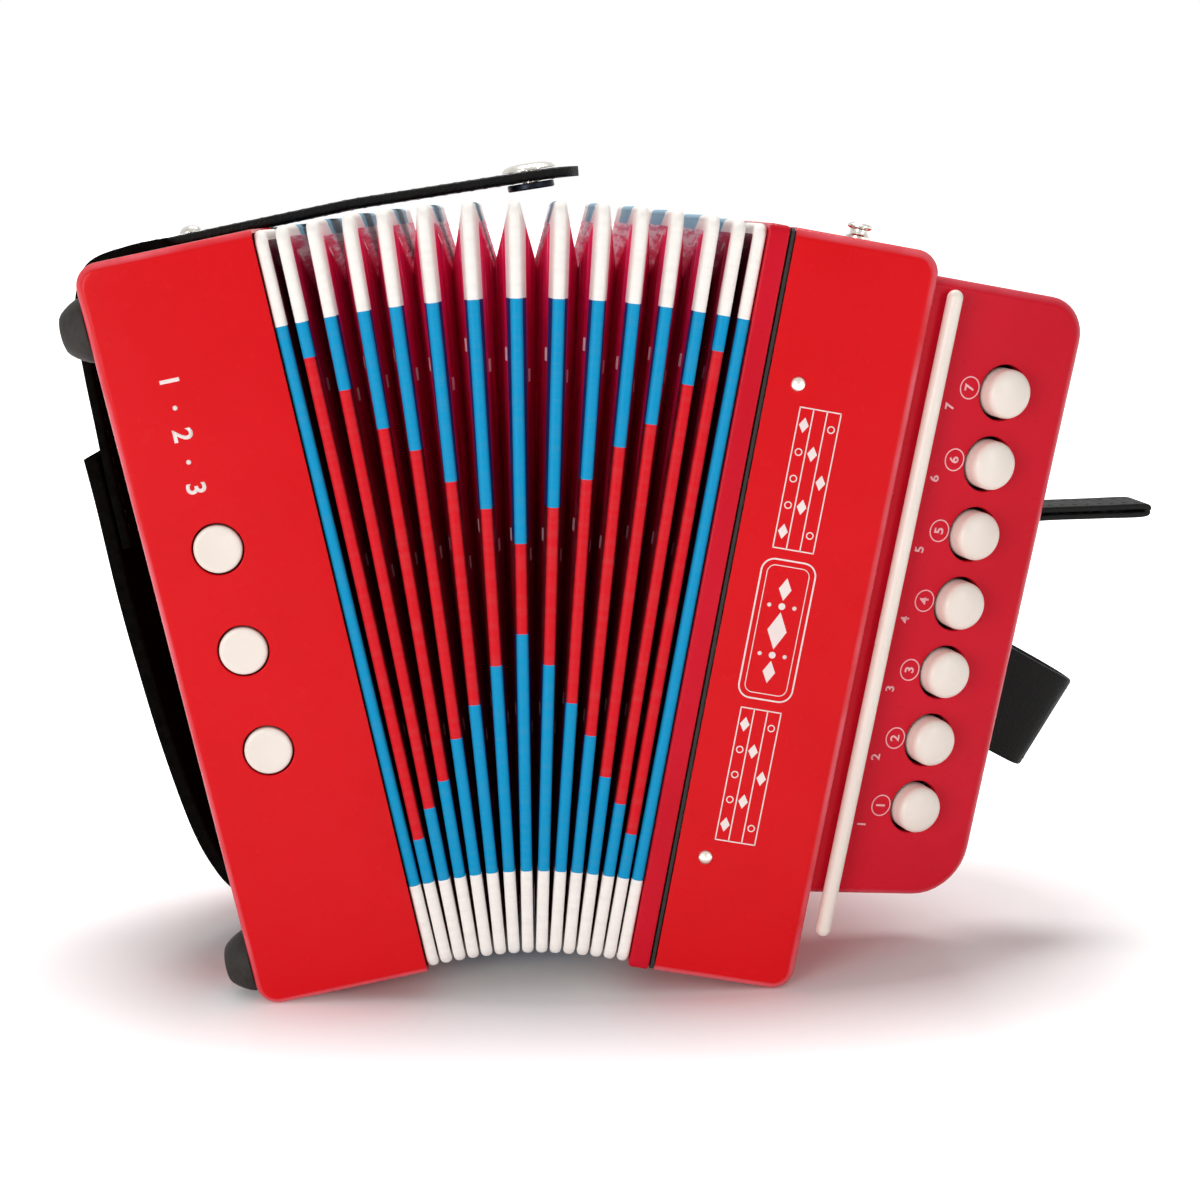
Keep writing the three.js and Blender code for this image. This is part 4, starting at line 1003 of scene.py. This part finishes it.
def bass_caps():
    """Three flat round caps on the front of the bass casing, with their stems and pallets."""
    r, stem, pallet = BASS_BUTTON / 2, 2, BASS_PALLET / 2
    face = -FRONT + 0.6
    skirt = face - 3.4
    back = -(BASS_BOARD_BACK + GAP)
    end = back - BASS_PALLET_THICKNESS
    profile = [(0, face - 0.22), (2.4, face - 0.18), (3.9, face - 0.04), (4.7, face), (5.15, face - 0.08)]
    sides = [(r, face - 0.7), (r, skirt), (stem, skirt), (stem, back)]
    sides += [(pallet, back), (pallet, end), (0, end)]
    profile += [(5.45, face - 0.3)] + rounded_profile(sides, 0.3, 2)
    names = [("air_valve_cap", "air_valve_button", "air_valve_plunger")]
    names += [(f"bass_cap_{i}", f"bass_button_{i}", f"bass_plunger_{i}") for i in (1, 2)]
    for (name, node, body), z in zip(names, BASS_BUTTON_HEIGHTS):
        bm = turned(profile, 56, axis=(0, -1, 0), at=(BASS_BUTTON_INSET, 0, z))
        bake(name, bm, BASS, white_plastic, body, [node], "white_plastic")


# White print: plain numbers beside the buttons and a geometric border on the treble casing
def print_outline(bm, points, line=0.0):
    """A printed shape: filled, or only a line of the given width along its inside."""
    face = cap(bm, first_ring(bm, [(u, 0, n) for u, n in points]))
    if line:
        bmesh.ops.inset_region(bm, faces=[face], thickness=line, use_even_offset=True, use_boundary=True)
        bmesh.ops.delete(bm, geom=[face], context="FACES")


def print_circle(bm, u, n, radius, line=0.0):
    print_outline(bm, circle(u, n, radius, 40), line)


def print_bar(bm, u0, n0, u1, n1):
    print_outline(bm, [(u0, n0), (u1, n0), (u1, n1), (u0, n1)])


def print_lozenge(bm, u, n, across, tall):
    print_outline(bm, [(u + across / 2, n), (u, n + tall / 2), (u - across / 2, n), (u, n - tall / 2)])


def print_digit(bm, digit, size, u, n, quarter):
    """One plain digit; quarter is 1 when it reads upwards, -1 when it reads downwards."""
    curve = bpy.data.curves.new("digit", "FONT")
    curve.body, curve.size = digit, size
    curve.align_x, curve.align_y = "CENTER", "CENTER"
    curve.offset = 0.022 * size
    holder = new_object("digit", curve)
    bpy.context.view_layer.update()
    mesh = bpy.data.meshes.new_from_object(holder.evaluated_get(bpy.context.evaluated_depsgraph_get()))
    mesh.transform(Matrix(((0, -quarter, 0, u), (0, 0, 1, 0), (quarter, 0, 0, n), (0, 0, 0, 1))))
    bm.from_mesh(mesh)
    bpy.data.objects.remove(holder)
    bpy.data.curves.remove(curve)
    bpy.data.meshes.remove(mesh)


def bake_print(name, bm, place, body, ink=white_ink):
    """Turns the printed shapes to face out and gives them the thickness of a film of ink."""
    bm.normal_update()
    bmesh.ops.reverse_faces(bm, faces=[f for f in bm.faces if f.normal.y > 0])
    bake(name, bm, place @ shift(0, -PRINT_PROUD), ink, body, (), "white_plastic", solid=PRINT_FILM)


def bass_print():
    """The numbers 1 to 3 with dots between them, above the air valve's button."""
    bm = bmesh.new()
    column = 15.4
    for digit, n in (("1", 151), ("2", 138.5), ("3", 126)):
        print_digit(bm, digit, 6.2, column, n, quarter=-1)
    for n in (144.8, 132.2):
        print_circle(bm, column, n, 0.55)
    bake_print("bass_numbers", bm, BASS @ shift(0, FRONT), "bass_end")


def board_print():
    """Each key's number in a ring, and once more lower down."""
    bm = bmesh.new()
    column, outer_column, drop = 15.3, 10.9, 5.0
    for i, n in enumerate(KEY_HEIGHTS):
        digit = str(KEY_COUNT - i)
        print_circle(bm, column, n, 2.75, 0.3)
        print_digit(bm, digit, 3.5, column, n, quarter=1)
        print_digit(bm, digit, 3.4, outer_column, n - drop, quarter=1)
    bake_print("board_numbers", bm, BOARD, "treble_end", thin_ink)


def treble_print():
    """A panel of lozenges and dots between two grids of lozenges and rings."""
    bm = bmesh.new()
    middle, left, right, low, high = 13.2, 6.6, 19.8, 71, 105
    print_outline(bm, rounded_box(left, low, right, high, 3.2, 8), 0.38)
    print_outline(bm, rounded_box(left + 1.5, low + 1.5, right - 1.5, high - 1.5, 2, 8), 0.2)
    for n, across, tall in ((88, 4.6, 9), (98, 3, 5.4), (78, 3, 5.4)):
        print_lozenge(bm, middle, n, across, tall)
    for n in (93.9, 82.1):
        for u, radius in ((middle, 0.8), (middle - 3, 0.5), (middle + 3, 0.5)):
            print_circle(bm, u, n, radius)
    half = 0.14
    lines, margin = (8.4, 11.6, 14.8, 18.0), 4
    columns = (10, middle, 16.4, middle, 10)
    for low, high in ((107.4, 140.4), (35.6, 68.6)):
        for u in lines:
            print_bar(bm, u - half, low, u + half, high)
        for n in (low, high):
            print_bar(bm, lines[0] - half, n - half, lines[-1] + half, n + half)
        for step, u in enumerate(columns):
            n = low + margin + step * (high - low - 2 * margin) / 4
            print_lozenge(bm, u, n, 2.3, 3.6)
            print_circle(bm, columns[0] if u == middle else 2 * middle - u, n, 0.9, 0.28)
    bake_print("treble_border", bm, TREBLE @ shift(0, FRONT), "treble_end")


# Feet, pins, rivet, snap and screw
def feet():
    """Rubber feet on the bass end: rounded cones with a fastening dimple."""
    profile = [(0, 0), (7.5, 0), (7.7, 0.25), (7.68, 1.2), (7.3, 2.4), (6.6, 3.8), (5.75, 5.1)]
    profile += [(4.95, 6.1), (4.3, 6.6), (3.7, 6.8), (2.3, 6.8), (1.95, 6.5), (1.8, 5.2), (0, 5.2)]
    for side, y in (("front", -FOOT_OUT), ("back", FOOT_OUT)):
        for end, z in FOOT_HEIGHTS.items():
            bm = turned(profile, 40, axis=(-1, 0, 0), at=(0, y, z))
            node = f"foot_{side}_{end}"
            bake("rubber_" + node, bm, BASS, black_rubber, "bass_end", [node], "black_rubber")


def domed_pin(name, place, material, body, node, at, axis, head, dome, shank, length):
    """A pin with a low domed head on a round shank that sinks into its seat."""
    r, thin = head / 2, shank / 2
    profile = [(0, dome)] + [(r * math.sin(a), dome * math.cos(a)) for a in (0.3, 0.6, 0.9, 1.2, 1.42)]
    profile += [(r, 0.12), (r, 0), (thin, 0), (thin, -length), (0, -length)]
    bake(name, turned(profile, 36, axis=axis, at=at), place, material, body, [node], "nickel")


def pins():
    """Pins of the bellows frame, the straps' rivet and the hand strap's screw."""
    for node, z in PIN_HEIGHTS.items():
        seat = (TREBLE, pearl_pin, "treble_end", node, (PIN_INSET, FRONT, z), (0, -1, 0))
        domed_pin("pearl_" + node, *seat, head=3.6, dome=1.2, shank=1.8, length=4)
    top = (RIVET_INSET, 0, HEIGHT + 2 * GAP + LEATHER)
    seat = (BASS, nickel, "bass_end", "strap_rivet", top, (0, 0, 1))
    domed_pin("strap_rivet_head", *seat, head=RIVET_HEAD, dome=1.6, shank=2.4, length=5.5)
    side = (-2 * GAP - LEATHER, 0, HAND_SCREW_HEIGHT)
    seat = (BASS, nickel, "bass_end", "hand_strap_screw", side, (-1, 0, 0))
    domed_pin("hand_strap_screw_head", *seat, head=7, dome=1.6, shank=2.6, length=5.5)


def snap_parts():
    """The press stud's cap with its socket in the strap's tip, and the stud on the treble casing."""
    hinge = BASS @ shift(STRAP_BEND, 0, HEIGHT + GAP) @ turn_y(STRAP_DROOP)
    above, below = LEATHER + GAP, -GAP
    cap_curve = [(0, 1.7), (2.4, 1.66), (4.5, 1.46), (5.8, 1.0), (6.45, 0.45), (6.7, 0.15), (6.7, 0), (2, 0)]
    socket = [(2, 0), (5.5, 0), (5.8, 0.25), (5.8, 1.3), (5.5, 1.6)]
    socket += [(4.1, 1.6), (3.6, 1.3), (3.6, 0.55), (0, 0.55)]
    profile = [(r, above + up) for r, up in cap_curve] + [(r, below - down) for r, down in socket]
    bm = turned(profile, 48, at=(SNAP_INSET - STRAP_HINGE, 0, 0))
    # Faces below the strap get the near-black metal: painted shade under the strap.
    for piece in bm.faces:
        piece.material_index = int(piece.calc_center_median().z < below + 0.1)
    bake("snap_cap_and_socket", bm, hinge, [nickel, painted_shade_socket_metal], "strap_end", ["snap_cap"], "nickel")
    stud = [(0, 4.4), (2.0, 4.4), (2.7, 4.2), (3.2, 3.8), (3.2, 3.4), (2.9, 3.1), (2.3, 2.8), (2.3, 1.9)]
    stud += [(2.5, 1.5), (3.2, 1.1), (3.2, 0.4), (3.0, 0.3), (1.15, 0.3), (1.15, -2.4), (0, -2.4)]
    bm = turned(stud, 36, at=(STUD_INSET, 0, HEIGHT))
    bake("snap_stud_post", bm, TREBLE, nickel, "treble_end", ["snap_stud"], "nickel")


# Straps
def bake_strap(name, bm, place, hide, body, nodes, **options):
    bake(name, bm, place, [hide, stitch_thread], body, nodes, "black_leather", sharp=60, **options)


def bellows_strap():
    """The strap over the bellows: riveted to the bass casing, its free length droops to a round end."""
    left = STRAP_END + LEATHER / 2 + GAP
    low = HEIGHT + GAP
    line = [(left + (STRAP_BEND - 1.5 - left) * i / 12, low + LEATHER / 2) for i in range(13)]
    start = Vector((STRAP_BEND, low + LEATHER / 2))
    kink = STRAP_FREE - STRAP_TIP / 2
    cos, sin = math.cos(STRAP_DROOP), math.sin(STRAP_DROOP)
    for i in range(1, 25):
        a = STRAP_FREE * i / 24
        drop = max(a - kink, 0) ** 2 / STRAP_TIP * math.tan(STRAP_TIP_DROOP - STRAP_DROOP) * 2
        line.append((start.x + a * cos - drop * sin, start.y - a * sin - drop * cos))
    widths = []
    for x, _ in line:
        reach = min(max((x - start.x) / cos - kink, 0) / (STRAP_TIP / 2), 0.995)
        widths.append(max(STRAP_WIDTH * math.sqrt(1 - reach * reach), 3.0))
    bm = strap(line, STRAP_WIDTH, STRAP_PLY, widths=widths)
    hinge = BASS @ Vector((STRAP_BEND, 0, low))
    ahead = (BASS.to_3x3() @ Vector((1, 0, 0))).normalized() * 2
    blend = ("bass_end", "strap_end", (hinge - ahead) * MM, (hinge + ahead) * MM)
    nodes = ["bellows_strap_anchor", "bellows_strap"]
    bake_strap("bellows_strap_leather", bm, BASS, strap_leather, None, nodes, blend=blend)


def hand_straps():
    """Two plies of the hand strap on the bass end: the upper from the rivet, the lower screwed on."""
    on_strap = lambda shares: [(-HAND_STANDOFF * stand, HEIGHT * height) for stand, height in shares]
    top = HEIGHT + GAP + LEATHER / 2
    shares = [(0.13, 1.0), (0.42, 0.968), (0.56, 0.92), (0.62, 0.86), (0.66, 0.79), (0.7, 0.72), (0.72, 0.62)]
    upper = spline([(STRAP_END + 1.45, top), (STRAP_END / 2, top)] + on_strap(shares), 60)
    bm = strap(upper, HAND_STRAP_WIDTH, STRAP_PLY)
    bake_strap("hand_strap_top_ply", bm, BASS, hand_leather, "bass_end", ["hand_strap_upper"])
    side = -GAP - LEATHER / 2
    shares = [(0.28, 0.1), (0.56, 0.142), (0.78, 0.21), (0.92, 0.33)]
    shares += [(0.98, 0.45), (1, 0.56), (0.97, 0.68), (0.97, 0.75)]
    ends = [(side, HAND_SCREW_HEIGHT - LEATHER), (side, HAND_SCREW_HEIGHT + LEATHER)]
    lower = spline(ends + on_strap(shares), 70)
    pad = [HAND_STRAP_PAD * min(1.0, max(0.0, (i - 8) / 14)) for i in range(len(lower))]
    bm = strap(lower, HAND_STRAP_WIDTH, STRAP_PLY, pad=pad)
    bake_strap("hand_strap_low_ply", bm, BASS, hand_leather, "bass_end", ["hand_strap_lower"])


def thumb_strap():
    """A folded loop of leather standing out behind the fingerboard."""
    ply = LEATHER + GAP
    first = GAP + LEATHER / 2
    tip, gap, tail = 31 - LEATHER / 2, 8.5 + LEATHER, 7
    near, far = tip - gap, tip - gap * 0.25
    line = [
        (-tail, first), (0, first), (tail, first), (near, first + ply * 0.1), (far, first + gap * 0.14),
        (tip, first + gap * 0.5), (far, first + gap * 0.86), (near, first + gap),
        (tail * 1.6, first + gap * 0.86), (0, first + ply), (-tail, first + ply),
    ]
    bm = strap(spline(line, 90), THUMB_STRAP_WIDTH, STRAP_PLY, lambda a, b, w: Vector((a, b, w)))
    place = TREBLE @ shift(*THUMB_STRAP_PLACE) @ turn_y(THUMB_STRAP_TILT)
    bake_strap("thumb_strap_loop", bm, place, strap_leather, "treble_end", ["thumb_strap"])


def hand_loop():
    """A flat doubled band standing out from the fingerboard's side wall."""
    half = HAND_LOOP_PLY / 2
    out, ply = GAP + half, half + GAP / 2
    tip, gap, flange = HAND_LOOP_REACH - half, HAND_LOOP_GAP / 2 + half, HAND_LOOP_FLANGE
    bend = flange * 0.6
    band = [(out + 3, ply + half * 0.2), (tip * 0.6, gap), (tip - gap, gap), (tip, 0)]
    band += [(x, -off) for x, off in reversed(band[:-1])]
    line = [(out, flange), (out, bend), (out + half, ply + half * 1.4)]
    line += [(x, x * math.tan(HAND_LOOP_RISE) + off) for x, off in band]
    line += [(out + half, -ply - half * 1.4), (out, -bend), (out, -flange)]
    bm = strap(spline(line, 110), HAND_LOOP_WIDTH, HAND_LOOP_PLY)
    front = face_depth(BOARD_RIGHT, 0)
    run = BOARD_BACK - BOARD_BACK_ROUNDING - front
    x, y = BOARD_RIGHT - BOARD_TAPER * HAND_LOOP_BACK, front + run * HAND_LOOP_BACK
    place = TREBLE @ shift(x, y, HAND_LOOP_HEIGHT) @ turn_z(math.atan2(BOARD_TAPER, run))
    bake_strap("hand_loop_band", bm, place, strap_leather, "treble_end", ["hand_loop"])


# Springs
def slab(bm, low, high):
    """A soft-edged block between two corners."""
    size = Matrix.Diagonal((*(Vector(high) - Vector(low)), 1))
    middle = (Vector(low) + Vector(high)) / 2
    made = bmesh.ops.create_cube(bm, size=1, matrix=shift(*middle) @ size)["verts"]
    round_off(bm, list({e for v in made for e in v.link_edges}), 0.12, 1)


def finger(name, place, length, body_end, body_tip, free):
    """One flat spring from its root at 0 out to its tip."""
    bm = bmesh.new()
    steps = 24
    ring = None
    for i in range(steps + 1):
        x = length * i / steps
        w = SPRING_FINGER / 2 - (0.8 if i == steps else 0)
        ring = next_ring(bm, ring, [(x, 0, -w), (x, SPRING, -w), (x, SPRING, w), (x, 0, w)])
        if i in (0, steps):
            cap(bm, ring)
    face_out(bm)
    points = [place @ Vector((x, 0, 0)) * MM for x in (GAP, free)]
    bake(name, bm, place, spring_steel, None, (), "spring_steel", blend=(body_end, body_tip, *points))


def bass_springs():
    """Three springs that press the bass pallets onto their holes."""
    face = BASS_BOARD_BACK + GAP + BASS_PALLET_THICKNESS + GAP
    end = BASS_WIDTH - SPRING_MARGIN
    low, high = min(BASS_BUTTON_HEIGHTS) - SPRING_MARGIN, max(BASS_BUTTON_HEIGHTS) + SPRING_MARGIN
    bm = bmesh.new()
    slab(bm, (end - SPRING_FOOT, BASS_BOARD_BACK + GAP, low), (end, face + SPRING, high))
    bake("bass_spring_foot", bm, BASS, spring_steel, "bass_end", ["bass_spring_comb"], "spring_steel")
    root = end - SPRING_FOOT + GAP
    length = root - (BASS_BUTTON_INSET - BASS_TIP_PAST)
    free = root - BASS_BUTTON_INSET - BASS_PALLET / 2 - GAP
    bodies = ["air_valve_plunger", "bass_plunger_1", "bass_plunger_2"]
    for i, (body, z) in enumerate(zip(bodies, BASS_BUTTON_HEIGHTS), 1):
        place = BASS @ shift(root, face + SPRING, z) @ turn_z(math.pi)
        finger(f"bass_spring_finger_{i}", place, length, "bass_end", body, free)


def treble_springs():
    """Seven springs that hold the melody buttons up, on one strip behind the levers."""
    tip = Vector(on_board(KEY_ACROSS - TREBLE_TIP_PAST, 0, AXLE_SUNK + LEVER_THICKNESS / 2 + GAP))
    reach = on_board(AXLE_ACROSS + LEVER_ARM, 0, AXLE_SUNK)[0] - tip.x
    rise = reach + SPRING_FOOT_THICKNESS / 2
    inside = BOARD_BACK - BOARD_WALL - GAP - tip.y
    low, high = KEY_HEIGHTS[-1] - SPRING_MARGIN, KEY_HEIGHTS[0] + SPRING_MARGIN
    strip = TREBLE @ shift(*tip)
    bm = bmesh.new()
    slab(bm, (rise, reach * math.tan(BOARD_ANGLE), low), (rise + SPRING, inside, high))
    slab(bm, (rise - SPRING_FOOT, inside - SPRING, low), (rise, inside, high))
    bake("treble_spring_strip", bm, strip, spring_steel, "treble_end", ["treble_spring_comb"], "spring_steel")
    length = (rise + SPRING) / BOARD_COS
    free = SPRING_FOOT_THICKNESS / 2 / BOARD_COS
    for i, z in enumerate(KEY_HEIGHTS, 1):
        place = strip @ shift(0, 0, z) @ turn_z(BOARD_ANGLE) @ shift(length, SPRING, 0) @ turn_z(math.pi)
        finger(f"treble_spring_finger_{i}", place, length, "treble_end", f"key_{i}", free)


def finish_inner_pieces():
    """The pieces inside keep their solids and get their own materials."""
    finishes = {"lever_axle": nickel, "bass_reed_board": reed_wood, "treble_reed_block": reed_wood}
    finishes.update({f"treble_lever_{i + 1}": lever_plastic for i in range(KEY_COUNT)})
    for name, material in finishes.items():
        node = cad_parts[name]
        node.data.materials.clear()
        node.data.materials.append(material)


# Floor, light and background
def seen_directly(tree):
    """1 for rays from the camera and for those that metal, gloss and glass send on, else 0."""
    rays = ("Is Camera Ray", "Is Transmission Ray", "Is Glossy Ray")
    camera, through, gloss = (add(tree, "LightPath", output=ray) for ray in rays)
    return camera | through | gloss


def make_floor():
    """A wide white floor that keeps the object's shadow and turns to plain white further out."""
    half_metres = 40
    bm = bmesh.new()
    bmesh.ops.create_grid(bm, x_segments=8, y_segments=8, size=half_metres)
    mesh = bpy.data.meshes.new("pale_floor")
    bm.to_mesh(mesh)
    bm.free()
    floor = new_object("pale_floor", mesh)
    look = Look("pale_floor", Roughness=0.6, Specular_IOR_Level=0.1, Emission_Color=(1, 1, 1, 1))
    oval = add(look.tree, "Mapping", {0: look.place, 3: SHADOW_OVAL})
    reach = add(look.tree, "VectorMath", {0: oval}, "Value", operation="LENGTH")
    glow = seen_directly(look.tree) * reach.spread(*SHADOW_FADE)
    look.feed(Base_Color=look.noise(0.05).mix("FAF9F9", "F4F2F2"), Emission_Strength=glow)
    mesh.materials.append(look.material)


def area_light(name, place, target_height, size, power):
    """A rectangular lamp aimed at a height above the origin. Places and sizes are in metres."""
    data = bpy.data.lights.new(name, "AREA")
    data.shape = "RECTANGLE"
    data.size, data.size_y = size
    data.energy = power
    light = new_object(name, data)
    light.location = place
    light.rotation_euler = (Vector((0, 0, target_height)) - Vector(place)).to_track_quat("-Z", "Y").to_euler()


def make_light():
    """Two low lamps in front, one above and behind, and a white studio that is brighter overhead."""
    area_light("key_light", (-0.7, -1.05, 0.25), target_height=0.09, size=(0.5, 0.5), power=6.6)
    area_light("fill_light", (0.8, -0.9, 0.3), target_height=0.09, size=(0.3, 0.5), power=2.3)
    area_light("top_light", (0.0, 0.4, 1.0), target_height=0.1, size=(0.6, 0.3), power=6.5)
    world = bpy.data.worlds.new("studio")
    bpy.context.scene.world = world
    world.use_nodes = True
    tree = world.node_tree
    tree.nodes.clear()
    height = add(tree, "TexCoord", output="Generated").axis(2)
    white = (1, 1, 1, 1)
    soft = add(tree, "Background", {"Color": white, "Strength": height.spread(0.0, 0.9, 0.17, 0.52)})
    bright = add(tree, "Background", {"Color": white, "Strength": 1.0})
    mixed = add(tree, "MixShader", {0: seen_directly(tree), 1: soft, 2: bright})
    tree.links.new(mixed.socket, tree.nodes.new("ShaderNodeOutputWorld").inputs[0])
    bpy.context.scene.view_settings.view_transform = "Standard"


# The camera, the whole accordion and its stage
make_camera()
bass_casing()
treble_casing()
frames()
bellows()
fingerboard()
trim_rod()
key_caps()
bass_caps()
bass_print()
board_print()
treble_print()
feet()
pins()
snap_parts()
bellows_strap()
hand_straps()
thumb_strap()
hand_loop()
bass_springs()
treble_springs()
finish_inner_pieces()
make_floor()
make_light()
